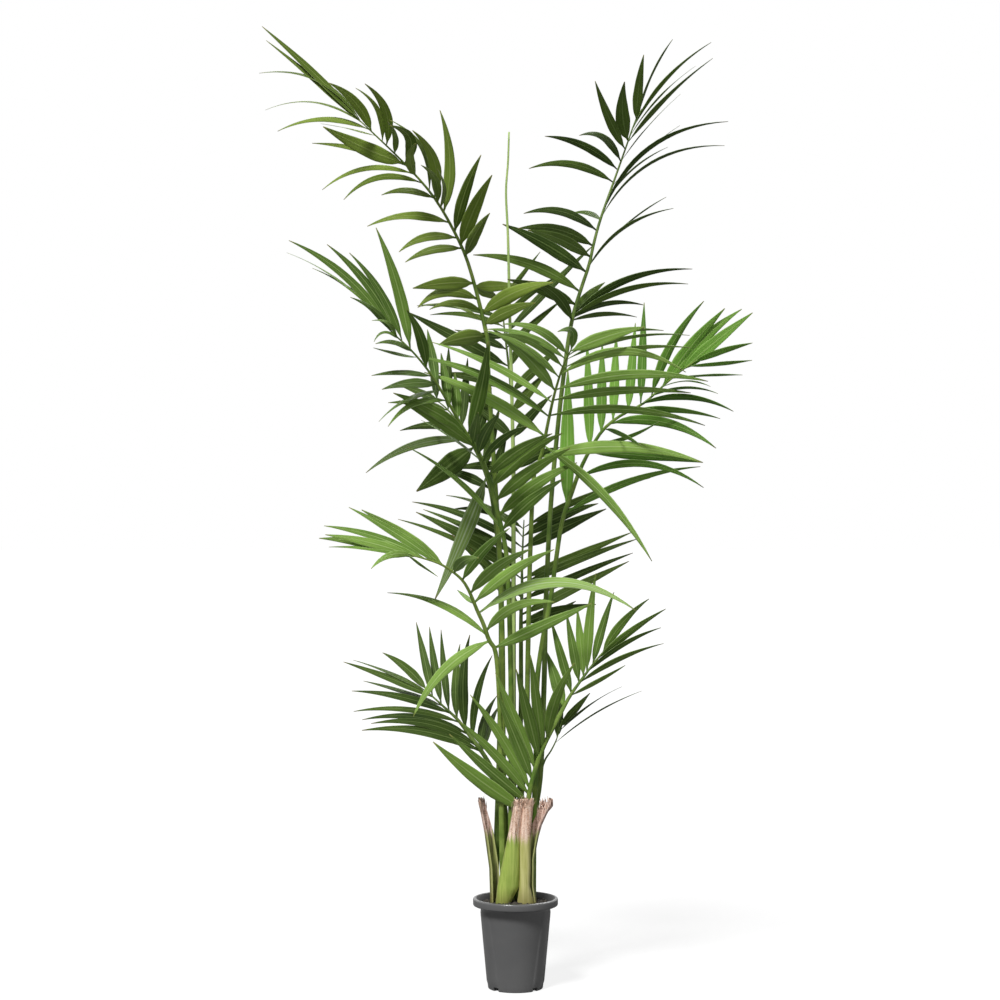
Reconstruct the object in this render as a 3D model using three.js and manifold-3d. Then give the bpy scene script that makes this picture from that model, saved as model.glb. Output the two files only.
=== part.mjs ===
// Potted kentia palm: a plastic nursery pot full of soil, four cut leaf bases, an unopened spear leaf
// and twelve feather fronds. Millimetres, +Z up, the front towards -Y, origin under the pot's centre.
import * as THREE from "three";
import Module from "manifold-3d";

const kit = await Module();
kit.setup();

// ---------------------------------------------------------------- sizes
const CLEARANCE = 0.5; // least gap between neighbouring pieces
const JOIN_SLACK = 0.03; // slivers smaller than this are closed up after a join

const POT = {
  sides: 30,
  height: 180,
  baseRadius: 55,
  shoulderRadius: 70, // body just under the rim
  shoulderHeight: 162,
  rimRadius: 85,
  rimBottom: 165,
  rimEdge: 3, // rolled edge of the rim
  rimInner: 78,
  lip: 3, // how far the wall steps in under the rim, and how far down
  lipDrop: 6,
  foot: 2, // rounded bottom edge
  wall: 2.5,
  floor: 4,
};
// raised panels on both sides of the pot: their edges are in degrees from the front
const PANEL = { proud: 1.4, sunk: 1, topEdge: 50, bottomEdge: 37, low: 8, high: 156, steps: 6 };
const NOTCH = { count: 4, first: 45, width: 13, height: 7, depth: 9 };

const SOIL = { top: 168, dome: 5, ripple: 1.6, rings: 3, sides: 20, taper: 0.8 };

const STEM_BOTTOM = 128; // buried end of every stalk
const STEM_COLLAR = SOIL.top + 8; // stalks stay straight to here
const STEM_HOLE_TOP = SOIL.top + 20; // clear of the soil's dome
const HOLE_GAP = CLEARANCE * 1.8; // round a stalk, where its six corners come nearest to the hole's sides
const STEM_STRAIGHT = 200; // stalks rise straight out of the soil to here

// Upright gutter-shaped plates left where old leaves were cut. The hollow side is turned `facing` degrees
// from straight back. Each row: height, centre across, centre in depth, half width, bulge, thickness.
const STUB_STEPS = 6;
const STUB_HOLE_TOP = SOIL.top + 12; // the buried end that a hole is shaped round reaches to here
const STUB_HOLE_GAP = 5 * CLEARANCE; // both sides of that end together
const STUB_WALL = { edge: 0.45, least: 2, side: 0.6 }; // how the wall thins from its middle to its edges
const RAGGED_STEP = 2.4; // radians between the ragged top's points
const STUBS = {
  cut_base_front_left: {
    facing: 0, ragged: 4, color: 0x9db64f,
    rows: [[142, -25, -24, 14.5, 12, 6], [172, -25, -24, 14.5, 12, 6], [205, -15, -25, 21, 13, 6],
           [240, -10.5, -26, 18, 13, 6], [310, -3.5, -27, 11, 10, 5], [378, 7.5, -27, 9, 8, 4]],
  },
  cut_base_front_right: {
    facing: 0, ragged: 5, color: 0xb8b560,
    rows: [[142, 20, -23, 16.5, 11, 6], [172, 20, -23, 16.5, 11, 6], [205, 18, -25, 10.5, 10, 5],
           [240, 19, -26, 10.5, 10, 5], [310, 19, -27, 10.5, 9, 5], [380, 26.5, -28, 9, 8, 4]],
  },
  cut_base_left: {
    facing: -125, ragged: 6, color: 0x8c9448,
    rows: [[142, -43, 1, 12, 13, 4], [172, -43, 1, 12, 13, 4], [240, -45, -1, 12, 13, 4],
           [310, -55, -4, 11, 12, 3.5], [376, -70, -6, 7, 7, 3]],
  },
  cut_base_right: {
    facing: 127, ragged: 7, color: 0xa08a5c,
    rows: [[142, 37, -8, 8, 9, 4], [172, 37, -8, 8, 9, 4], [205, 32.5, -9, 7, 8, 4], [259, 33, -10, 7, 8, 4],
           [303, 40, -11, 9, 10, 4], [327, 45, -11, 12, 12, 3.5], [351, 56, -11, 12, 12, 3], [374, 67, -11, 13, 13, 3]],
  },
};

// ---------------------------------------------------------------- fronds
// Stalk points and leaflet reaches are sizes seen from the front at the pot's axis: across, height, depth.
const VIEW = { distance: 4600, height: 975, across: -31 };
const TOWARDS_VIEWER = new THREE.Vector3(0, -1, 0); // where a leaflet's face looks before it's twisted
const UNEVEN_TWIST = 24; // degrees between the least and the most turned of like leaflets
const FIRST_SEED = 101;
const LEAFY_END = 0.995; // the last leaflet stands just short of the stalk's tip
const BLADE_THICKNESS = 0.8;
const BLADE_STATIONS = [0, 0.3, 0.66, 1];
const BLADE_LEAST = 0.6; // half width that a tip never goes under
const NECK = 0.45; // half width of a blade's root, as a share of the stalk's radius
// share of the blade's length, share of its full width
const BLADE_PROFILE = [[0, 0.28], [0.15, 0.7], [0.34, 1], [0.6, 0.8], [0.8, 0.46], [1, 0.06]];
// how a leaflet may be bent clear of its neighbours: towards the viewer, along the stalk, length kept
const BENDS = [];
for (const kept of [1, 0.8, 0.6]) {
  for (const out of [0, 0.07, -0.07, 0.14, -0.14, 0.22, -0.22, 0.32, -0.32, 0.44, -0.44]) {
    for (const along of [0, 0.08, -0.08, 0.16, -0.16]) BENDS.push([out, along, kept]);
  }
}
const BEND_EARLY = 0.35; // share of a bend that the blade's middle has too
const STALK = { base: 6.2, neck: 4.4, end: 1.2, sides: 6, bareRings: 5, leafyRings: 8, holeSides: 8 };
const NECK_AT = 0.7; // share of a stalk's length where it has thinned to its neck
const LINE_STEPS = 200; // steps that three.js measures a curve by

// Each frond: foot is where it stands in the soil (across, depth). stalk lists its line upward from the
// base, leafy is the stalk point where leaflets begin and girth is its share of the usual stalk sizes. A
// leaflet has: share of the leafy stretch, reach across, reach up, reach in depth, arch, twist in degrees,
// width.
const FRONDS = {
  frond_top_left: {
    foot: [-24, 28], leafy: 6, girth: 1, shade: "olive",
    stalk: [[-23, 299, 26], [-25, 495, 24], [-26, 675, 20], [-31, 855, 16], [-41, 1015, 12],
            [-51, 1175, 6], [-55, 1245, 2], [-57, 1301, 0], [-91, 1437, -14], [-121, 1509, -26],
            [-165, 1583, -44], [-221, 1647, -66], [-287, 1711, -92], [-315, 1737, -104]],
    left: [[0.1, -94, -16, -155, 0.03, 0, 34], [0.15, -132, 30, -130, 0.2, 50, 14],
           [0.19, -103, 4, -160, 0.15, 0, 16], [0.23, -121, -14, -155, 0.24, 10, 24],
           [0.29, -122, -10, -160, 0.04, 0, 28], [0.42, -113, -26, -170, 0.1, 10, 19],
           [0.46, -116, -28, -170, 0.15, 10, 19], [0.52, -164, -5, -130, 0.16, 10, 20],
           [0.62, -106, 7, -175, 0.12, 20, 15], [0.69, -156, -32, -125, 0.28, 30, 15],
           [0.73, -184, -31, -70, 0.28, 30, 14], [0.77, -189, 47, -25, 0.1, 10, 16],
           [0.78, -163, 77, -55, -0.06, 0, 32], [0.92, -110, 26, -100, 0.02, 60, 14],
           [0.95, -184, -1, -25, 0.24, 30, 14], [0.98, -196, 28, -25, 0.3, 70, 12],
           [0.99, -204, 100, -25, 0.33, 60, 14], [1, -194, 188, -25, 0.03, 35, 18]],
    right: [[0.14, 102, 46, -150, 0.05, 0, 28], [0.18, 143, 64, -110, 0.12, 0, 32],
            [0.27, 48, -23, 120, 0.05, 0, 22], [0.28, 87, 4, 90, -0.04, 0, 24],
            [0.39, 49, 87, -180, 0.04, 0, 25], [0.43, 63, 142, -140, 0.05, 0, 30],
            [0.48, 53, 158, -125, 0.06, 0, 25], [0.56, -7, 207, -25, 0.16, 10, 24],
            [0.58, -6, 79, -190, 0.1, 70, 14], [0.6, -33, 79, -190, 0.14, 20, 17],
            [0.62, -44, 137, -150, 0.22, 20, 26], [0.65, -80, 146, -120, 0.3, 60, 18],
            [0.72, -1, 68, -190, 0.12, 0, 20], [0.78, -29, 79, -170, 0.3, 0, 24],
            [0.83, -14, 66, -160, 0.1, 30, 14], [0.87, -43, 126, -95, 0.28, 15, 20],
            [0.89, -53, 108, -105, 0.27, 40, 14], [0.94, -86, 100, -60, 0.2, 0, 22],
            [0.98, -194, 170, -25, 0.02, 25, 15]],
  },
  frond_top_right: {
    foot: [28, 38], leafy: 7, girth: 1, shade: "deep",
    stalk: [[40, 353, 34], [50, 430, 30], [57, 600, 26], [61, 775, 28], [70, 955, 32], [84, 1115, 38],
            [99, 1245, 44], [113, 1335, 52], [131, 1397, 58], [147, 1445, 62], [157, 1490, 68],
            [171, 1540, 75], [197, 1613, 88], [219, 1675, 100], [241, 1737, 112], [253, 1757, 120]],
    left: [[0, -88, 80, -135, 0.18, 0, 24], [0.07, -142, 37, -120, 0.06, 0, 26],
           [0.13, -214, 74, -25, 0.17, 0, 24], [0.22, -168, 98, -65, 0.07, 0, 29],
           [0.29, -126, 57, -160, 0.07, 0, 26], [0.34, -151, 37, -150, 0.14, 0, 24],
           [0.41, -147, 35, -160, 0.19, 15, 20], [0.46, -54, 16, 80, 0.15, 30, 16],
           [0.64, -169, 31, -130, 0.2, 10, 18], [0.7, -146, 70, -140, 0.14, 10, 18],
           [0.74, -83, 54, -185, 0.22, 10, 18], [0.8, -60, 137, -125, -0.05, 0, 21],
           [0.84, -7, 120, -135, -0.1, 0, 31], [0.94, 15, 135, -70, 0.04, 0, 21]],
    right: [[0, 130, 8, 125, 0.1, 45, 14], [0.01, 144, 28, 105, 0.17, 45, 16],
            [0.02, 230, 66, 25, 0.18, 45, 16], [0.03, 237, 91, 25, 0.2, 35, 18],
            [0.04, 61, 59, 100, 0.05, 30, 20], [0.24, 171, 122, 25, 0.22, 68, 16],
            [0.26, 154, 135, 45, 0.1, 72, 14], [0.47, 247, 145, 25, 0.31, 66, 18],
            [0.48, 253, 192, 25, 0.32, 62, 16], [0.56, 121, 105, 150, 0.1, 75, 14],
            [0.62, 136, 124, 115, 0.06, 75, 12], [0.74, 119, 136, 105, 0.05, 80, 12],
            [0.83, 171, 173, 25, 0.07, 68, 18], [0.86, 132, 144, 25, 0.1, 74, 16],
            [0.9, 157, 174, 25, 0.14, 70, 16], [0.95, 71, 162, 25, 0.1, 66, 15]],
  },
  frond_mid_left: {
    foot: [-8, 10], leafy: 6, girth: 1, shade: "mid",
    stalk: [[-9, 299, 4], [-9, 380, -2], [-9, 575, -22], [-11, 695, -32], [-14, 795, -38], [-18, 865, -43],
            [-27, 915, -50], [-39, 965, -60], [-51, 1015, -72], [-73, 1069, -90], [-105, 1119, -112],
            [-135, 1171, -136], [-171, 1229, -162], [-207, 1273, -186], [-239, 1303, -206],
            [-263, 1327, -222]],
    left: [[0, -190, 170, 40, 0.12, 50, 15], [0.29, -123, 85, 155, 0.05, 62, 14],
           [0.36, -152, 95, -130, 0.05, 0, 24], [0.43, -147, 82, -150, 0.05, 10, 28],
           [0.59, -118, -50, -185, 0.17, 35, 16], [0.64, -124, -61, -175, 0.12, 60, 16],
           [0.67, -110, -7, -190, 0.05, 20, 22], [0.71, -120, 3, -180, 0.05, 45, 15],
           [0.81, -87, 20, -175, -0.02, 55, 13], [0.84, -73, 19, -170, 0.1, 40, 13],
           [0.91, -53, -4, -155, 0.2, 60, 12], [0.93, -50, 32, -145, 0.15, 60, 13],
           [0.96, -83, 69, -105, 0.13, 50, 18], [0.98, -152, 120, -25, 0.15, 66, 15],
           [1, -196, 146, -25, 0.14, 78, 14]],
    right: [[0, 124, 104, -90, 0.08, 0, 27], [0.06, 157, 109, -25, 0.1, 0, 28],
            [0.12, 150, 107, -75, 0.08, 0, 27], [0.18, 142, 110, -100, 0.1, 0, 28],
            [0.23, 128, 86, -145, 0.08, 0, 26], [0.29, 89, 75, -185, 0.1, 30, 20],
            [0.33, 42, 81, -200, 0.06, 0, 25], [0.38, 10, 64, -215, 0, 0, 22],
            [0.42, 40, 191, -110, -0.06, 0, 29], [0.5, -6, 94, 60, 0, 20, 22],
            [0.57, -17, 104, 60, 0, 20, 20], [0.67, -19, 110, 60, 0, 20, 20],
            [0.75, -40, 120, -170, 0.08, 0, 22], [0.85, -69, 247, -25, 0.07, 10, 24],
            [0.9, -106, 179, -25, 0.13, 25, 20], [0.93, -140, 186, -25, 0.13, 25, 20],
            [0.98, -199, 179, -25, 0.15, 20, 19]],
  },
  frond_front_high: {
    foot: [8, 10], leafy: 5, girth: 1, shade: "fresh",
    stalk: [[9, 355, 8], [21, 475, 0], [25, 675, -14], [29, 855, -30], [37, 1025, -54], [51, 1061, -66],
            [67, 1139, -98], [79, 1191, -140], [93, 1237, -190], [103, 1259, -236], [111, 1275, -280]],
    left: [[0.14, -242, 130, -60, 0.1, 0, 26], [0.28, -259, 122, -80, 0.12, 20, 22],
           [0.39, -241, 122, -60, 0.1, 35, 20], [0.49, -127, 128, -195, 0.06, 0, 26],
           [0.61, -151, 98, -190, 0.1, 35, 20], [0.72, -130, 70, -205, 0.12, 30, 18],
           [0.83, -159, 64, -140, 0.14, 30, 18], [0.9, -131, 64, -130, 0.2, 20, 20],
           [0.99, -26, 39, -160, 0.28, 20, 18]],
    right: [[0, 324, -9, -90, 0.155, 0, 27], [0.08, 217, -227, -110, 0.11, 20, 22],
            [0.29, 311, -18, -25, 0.14, 25, 20], [0.41, 276, 16, -25, 0.09, 25, 20],
            [0.5, 305, 20, -25, 0.14, 10, 22], [0.63, 252, 10, -65, 0.34, 15, 20],
            [0.71, 258, 44, -25, 0.13, 40, 16], [0.83, 247, 50, -25, 0.15, 60, 14],
            [0.9, 191, 50, -25, 0.2, 30, 14], [0.98, 149, 50, -55, 0.06, 10, 27]],
  },
  frond_mid_right: {
    foot: [35, 21], leafy: 6, girth: 1, shade: "bright",
    stalk: [[36, 299, 19], [41, 455, 8], [43, 603, 2], [53, 687, 0], [69, 771, -4], [81, 855, -8],
            [93, 931, -14], [111, 985, -20], [129, 1035, -28], [149, 1075, -36], [175, 1115, -46],
            [209, 1143, -56], [257, 1169, -70], [295, 1203, -80], [331, 1233, -90], [369, 1259, -100]],
    left: [[0.07, 2, 276, 40, 0, 0, 32], [0.35, -6, 221, 30, 0, 0, 22], [0.44, 2, 185, 60, 0, 0, 22],
           [0.52, 7, 179, 60, 0, 0, 21], [0.6, 15, 179, 60, 0, 0, 20], [0.67, 7, 205, 30, 0, 0, 19],
           [0.73, 105, 190, -40, 0.13, 10, 21], [0.79, 126, 160, -35, 0.05, 0, 28],
           [0.84, 143, 143, -25, 0.11, 0, 24], [0.9, 144, 119, -25, 0.02, 0, 25]],
    right: [[0.04, 271, 98, 25, 0.12, 20, 18], [0.21, 253, -16, -60, 0.3, 30, 18],
            [0.34, 228, -19, -25, 0.02, 20, 20], [0.37, 135, 53, -150, -0.08, 55, 15],
            [0.47, 70, -31, -220, 0.03, 50, 16], [0.5, 229, -35, -110, 0.22, 10, 22],
            [0.6, 155, -25, -150, 0.1, 30, 18], [0.66, 189, -12, -125, 0.2, 40, 18],
            [0.72, 123, -4, -185, 0.14, 60, 16], [0.79, 97, 2, -180, 0.12, 72, 14],
            [0.85, 141, 8, -120, 0.03, 74, 14], [0.94, 128, 14, -95, -0.02, 55, 15],
            [0.97, 118, 41, -80, 0.04, 50, 17]],
  },
  frond_low_left: {
    foot: [-24, 12], leafy: 4, girth: 1, shade: "fresh",
    stalk: [[-27, 300, 3], [-29, 415, -10], [-31, 535, -28], [-35, 623, -42], [-41, 675, -52],
            [-53, 695, -58], [-65, 729, -68], [-77, 755, -78], [-91, 789, -90], [-105, 813, -100],
            [-125, 831, -112], [-151, 847, -126], [-187, 859, -144], [-221, 867, -160]],
    left: [[0.07, -154, -150, -40, 0.2, 20, 24], [0.1, -202, 91, -25, 0.19, 40, 20],
           [0.35, -35, 29, 90, 0, 50, 12], [0.88, -206, 42, -25, 0.07, 0, 24],
           [0.95, -83, -25, -110, 0.2, 30, 16], [0.97, -162, 18, -25, 0.06, 50, 15],
           [1, 64, -44, -100, 0, 60, 13]],
    right: [[0.01, 195, 90, -60, 0, 0, 26], [0.14, 138, 61, -105, 0.24, 20, 22],
            [0.28, 316, 6, -60, 0.37, 180, 24], [0.36, 160, 108, -55, 0.1, 0, 24],
            [0.43, 122, 92, -135, 0.1, 0, 25], [0.54, 95, 107, -145, 0.08, 0, 21],
            [0.62, 49, 33, -190, 0.1, 0, 22], [0.7, -167, 117, -25, 0.05, 0, 25],
            [0.76, -178, 112, -25, 0.05, 20, 20], [0.85, -204, 68, -25, 0.1, 30, 18],
            [0.96, -172, 44, -25, 0.05, 10, 20]],
  },
  frond_base_left: {
    foot: [-18, 46], leafy: 4, girth: 1, shade: "deep",
    stalk: [[-19, 305, 48], [-22, 365, 55], [-35, 410, 59], [-51, 445, 62], [-67, 471, 66], [-91, 503, 76],
            [-115, 535, 87], [-145, 563, 100], [-171, 587, 114], [-183, 601, 122]],
    left: [[0, -240, 46, -25, 0.15, 10, 22], [0.08, -213, 46, -25, 0.2, 20, 19],
           [0.24, -214, 32, -25, 0.18, 20, 17], [0.41, -213, 23, -25, 0.14, 40, 16],
           [0.55, -200, 48, -35, 0.09, 25, 19], [0.68, -160, 52, 115, 0.03, 55, 15],
           [0.83, -181, 73, 25, 0.03, 40, 17], [0.92, -151, 67, 25, 0.05, 55, 15],
           [0.95, -89, 77, 80, 0.1, 0, 20]],
    right: [[0, 34, 92, 140, 0.05, 30, 18], [0.02, 32, 109, 130, 0.12, 20, 18],
            [0.17, 39, 169, 80, 0.13, 20, 18], [0.3, 8, 194, 55, 0.1, 0, 24],
            [0.46, 6, 152, 145, 0.06, 0, 19], [0.59, -16, 164, 125, -0.02, 20, 16],
            [0.71, -24, 158, 120, -0.02, 10, 18], [0.85, -33, 149, 75, 0, 0, 19]],
  },
  frond_base_right: {
    foot: [24, 10], leafy: 1, girth: 1, shade: "mid",
    stalk: [[22, 300, 4], [23, 350, -2], [30, 400, -7], [43, 447, -12], [57, 484, -15], [73, 516, -16],
            [91, 550, -12], [109, 583, -6], [133, 617, 2], [165, 659, 16], [189, 685, 28]],
    left: [[0, -188, 140, -60, -0.05, 0, 32], [0.05, -158, 137, -50, -0.02, 0, 25],
           [0.09, -140, 149, -60, 0.05, 10, 22], [0.12, -120, 190, -50, 0.06, 0, 23],
           [0.17, -71, 175, -50, 0, 0, 25], [0.23, -80, 196, -25, 0, 0, 24],
           [0.29, -46, 182, -85, 0, 0, 25], [0.34, -24, 190, -85, 0, 0, 23],
           [0.4, 55, 153, -135, 0.1, 0, 24], [0.59, -38, 103, 50, 0, 0, 26],
           [0.67, -42, 150, 40, 0, 10, 20], [0.74, -26, 142, 40, 0, 0, 20], [0.78, -13, 141, 40, 0, 0, 20],
           [0.81, 18, 200, 30, 0.04, 0, 21], [0.86, 43, 148, 30, 0.03, 15, 18],
           [0.94, 94, 111, 20, 0.13, 15, 20]],
    right: [[0.66, 109, 61, 40, -0.03, 55, 15], [0.74, 169, 81, 30, 0.09, 45, 17],
            [0.81, 148, 90, 20, 0.12, 50, 16], [0.9, 137, 101, 10, 0.06, 30, 18]],
  },
  frond_base_back: {
    foot: [13, 55], leafy: 6, girth: 0.55, shade: "deep",
    stalk: [[20, 300, 57], [37, 350, 52], [46, 400, 50], [51, 430, 51], [59, 455, 54], [70, 472, 58],
            [78, 487, 62], [84, 502, 68], [89, 520, 76], [93, 535, 84]],
    left: [[0.25, 10, 92, 70, 0, 10, 20]],
    right: [[0.03, 174, 105, 20, 0.09, 66, 15], [0.5, 126, 92, 30, 0.1, 66, 15],
            [0.7, 60, 70, 60, 0, 20, 18]],
  },
  frond_back_mid: {
    foot: [8, 28], leafy: 3, girth: 1, shade: "deep",
    stalk: [[8, 305, 34], [9, 455, 50], [11, 575, 72], [11, 655, 90], [11, 695, 100], [11, 745, 116],
            [13, 795, 136], [13, 845, 160], [15, 895, 190], [17, 935, 222]],
    left: [[0.32, -102, 128, 40, 0.02, 10, 24], [0.42, -140, 126, 40, 0.02, 20, 24],
           [0.55, -248, 120, 40, 0.1, 20, 15], [0.61, -212, 118, 35, 0.04, 0, 26],
           [0.7, -198, 100, 90, 0.05, 30, 18], [0.78, -221, 92, 25, 0.13, 20, 18],
           [0.86, -154, 86, 90, 0.18, 40, 18], [0.93, -143, 40, 90, 0.18, 30, 18]],
    right: [[0.13, 110, 80, 60, 0.04, 0, 22], [0.24, 150, 40, 60, 0.06, 0, 26],
            [0.3, 216, 110, 25, 0, 0, 22], [0.4, 223, 98, 30, 0.02, 10, 18],
            [0.51, 232, 94, 25, 0.03, 10, 17], [0.55, 220, 96, 60, 0, 0, 20],
            [0.78, 167, 78, 130, 0.02, 0, 29], [0.87, 150, 68, 105, 0.06, 0, 26],
            [0.94, 253, 100, 60, 0.08, 20, 16]],
  },
  frond_back_high: {
    foot: [0, 46], leafy: 4, girth: 1, shade: "deep",
    stalk: [[-3, 315, 46], [-4, 495, 46], [-4, 695, 50], [-4, 895, 56], [-4, 1035, 64], [-6, 1135, 76],
            [-9, 1195, 88], [-15, 1255, 104], [-21, 1305, 122], [-25, 1345, 142], [-29, 1375, 164]],
    left: [[0, -123, 0, 60, 0.1, 0, 20], [0.17, -86, 72, 60, 0.05, 0, 22],
           [0.33, -132, 28, 60, 0.06, 0, 22], [0.45, -150, 32, 60, 0.08, 0, 20],
           [0.58, -203, 110, 50, 0, 0, 26], [0.68, -104, 40, 60, 0.06, 0, 18],
           [0.75, -107, -12, 60, 0.15, 10, 16], [0.82, -148, 26, 60, 0.14, 20, 13],
           [0.87, -173, 28, 60, 0.12, 20, 13]],
    right: [[0, 93, 44, 60, 0.08, 0, 22], [0.17, 78, 88, 60, 0.05, 0, 22], [0.32, 68, 80, 60, 0, 0, 22],
            [0.43, 98, 94, 60, 0, 0, 20], [0.57, 50, 100, 60, 0, 10, 18], [0.69, 111, 96, 60, 0.02, 0, 16],
            [0.77, 178, 182, 30, 0.02, 0, 17], [0.89, 110, 82, 40, 0.04, 20, 13],
            [0.99, 78, 102, 60, 0, 30, 12]],
  },
  frond_back_left: {
    foot: [-40, 30], leafy: 4, girth: 1, shade: "deep",
    stalk: [[-37, 311, 36], [-32, 495, 44], [-29, 695, 52], [-33, 855, 60], [-47, 975, 66],
            [-63, 1035, 72], [-83, 1079, 78], [-107, 1119, 86], [-135, 1155, 96], [-163, 1179, 106]],
    left: [[0.09, -100, 40, 40, 0.1, 0, 20], [0.19, -103, -244, -60, -0.03, 180, 33],
           [0.46, -114, -88, -60, 0, 0, 46], [0.53, -207, -65, -90, 0.2, 180, 19],
           [0.65, -124, -4, 40, 0.12, 20, 18], [0.84, -120, 16, 40, 0.1, 20, 18],
           [0.94, -83, 37, 40, 0.06, 20, 17]],
    right: [[0.09, 36, 116, 60, 0, 10, 22], [0.26, 32, 124, 60, 0, 10, 22], [0.46, 36, 120, 60, 0, 0, 22],
            [0.65, 24, 124, 60, 0, 10, 20], [0.84, 8, 120, 60, 0, 10, 20], [0.97, -13, 110, 60, 0, 20, 18]],
  },
};
const SPEAR = {
  foot: [-8, 28], base: 5, neck: 3.5, end: 1.8, slenderFrom: 0.5, color: 0x9ac05c,
  line: [[-6, 315, 26], [-4, 695, 20], [-4, 975, 10], [-7, 1169, 0], [-12, 1365, -6], [-15, 1500, -8],
         [-19, 1590, -8], [-15, 1650, -8], [-13, 1711, -8]],
};
const SHADES = { olive: 0x5d7a36, deep: 0x2c4a2e, mid: 0x4c8038, fresh: 0x74a545, bright: 0x3f8c46 };

// ---------------------------------------------------------------- solids
// A body through closed loops of points, each loop an even count, closed at both ends.
function loft(rings) {
  const count = rings[0].length;
  const half = count / 2;
  const faces = [];
  for (let i = 0; i + 1 < rings.length; i++) {
    for (let j = 0; j < count; j++) {
      const a = i * count + j;
      const b = i * count + ((j + 1) % count);
      const c = b + count;
      const d = a + count;
      if (j < half) faces.push([a, b, c], [a, c, d]);
      else faces.push([a, b, d], [b, c, d]);
    }
  }
  const last = (rings.length - 1) * count;
  for (let j = 0; j < half - 1; j++) {
    const [a, b, c, d] = [j, j + 1, count - 2 - j, count - 1 - j];
    faces.push([a, c, b], [a, d, c], [last + a, last + b, last + c], [last + a, last + c, last + d]);
  }
  return solidOf(rings.flat(), faces);
}

function solidOf(points, faces) {
  let volume = 0;
  for (const [a, b, c] of faces) {
    volume += points[a].dot(new THREE.Vector3().crossVectors(points[b], points[c]));
  }
  const outward = volume < 0 ? faces.map(([a, b, c]) => [a, c, b]) : faces;
  return new kit.Manifold(new kit.Mesh({
    numProp: 3,
    vertProperties: new Float32Array(points.flatMap((p) => [p.x, p.y, p.z])),
    triVerts: new Uint32Array(outward.flat()),
  }));
}

function meshOf(name, solid, color, roughness, origin = new THREE.Vector3()) {
  const { vertProperties, triVerts, numProp } = solid.getMesh();
  const points = [];
  for (let i = 0; i < vertProperties.length; i += numProp) {
    const [x, y, z] = vertProperties.slice(i, i + 3);
    points.push(x - origin.x, y - origin.y, z - origin.z);
  }
  const geometry = new THREE.BufferGeometry();
  geometry.setAttribute("position", new THREE.Float32BufferAttribute(points, 3));
  geometry.setIndex([...triVerts]);
  geometry.computeVertexNormals();
  const mesh = new THREE.Mesh(geometry, new THREE.MeshStandardMaterial({ color, roughness, metalness: 0 }));
  mesh.name = name;
  mesh.position.copy(origin);
  return mesh;
}

// ---------------------------------------------------------------- pot and soil
function bodyRadius(z) {
  return POT.baseRadius + ((POT.shoulderRadius - POT.baseRadius) * z) / POT.shoulderHeight;
}

function sidePanel(middle) {
  const rings = [];
  for (const level of [0, 0.5, 1]) {
    const z = PANEL.low + (PANEL.high - PANEL.low) * level;
    const edge = PANEL.bottomEdge + (PANEL.topEdge - PANEL.bottomEdge) * level;
    const outer = [];
    const inner = [];
    for (let i = 0; i <= PANEL.steps; i++) {
      const angle = THREE.MathUtils.degToRad(middle + (90 - edge) * ((2 * i) / PANEL.steps - 1));
      const ray = new THREE.Vector3(Math.cos(angle), Math.sin(angle), 0);
      const lift = i === 0 || i === PANEL.steps ? PANEL.proud / 3 : PANEL.proud;
      outer.push(ray.clone().multiplyScalar(bodyRadius(z) + lift).setZ(z));
      inner.unshift(ray.clone().multiplyScalar(bodyRadius(z) - PANEL.sunk).setZ(z));
    }
    rings.push([...outer, ...inner]);
  }
  return loft(rings);
}

function potSolid() {
  const outline = [
    [0, 0], [POT.baseRadius - POT.foot, 0], [POT.baseRadius, POT.foot],
    [POT.shoulderRadius, POT.shoulderHeight], [POT.rimRadius - POT.rimEdge, POT.rimBottom],
    [POT.rimRadius, POT.rimBottom + POT.rimEdge], [POT.rimRadius, POT.height - POT.rimEdge],
    [POT.rimRadius - POT.rimEdge, POT.height], [POT.rimInner, POT.height],
    [POT.rimInner - POT.lip, POT.height - POT.lipDrop], [POT.shoulderRadius - POT.wall, POT.shoulderHeight],
    [POT.baseRadius - POT.wall, POT.floor], [0, POT.floor],
  ];
  let solid = new kit.CrossSection([outline]).revolve(POT.sides).add(sidePanel(0)).add(sidePanel(180));
  for (let i = 0; i < NOTCH.count; i++) {
    const turn = NOTCH.first + (360 / NOTCH.count) * i;
    const block = kit.Manifold.cube([NOTCH.width, NOTCH.depth * 2, NOTCH.height * 2], true);
    solid = solid.subtract(block.translate([0, -POT.baseRadius, 0]).rotate([0, 0, turn]));
  }
  return solid;
}

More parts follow.
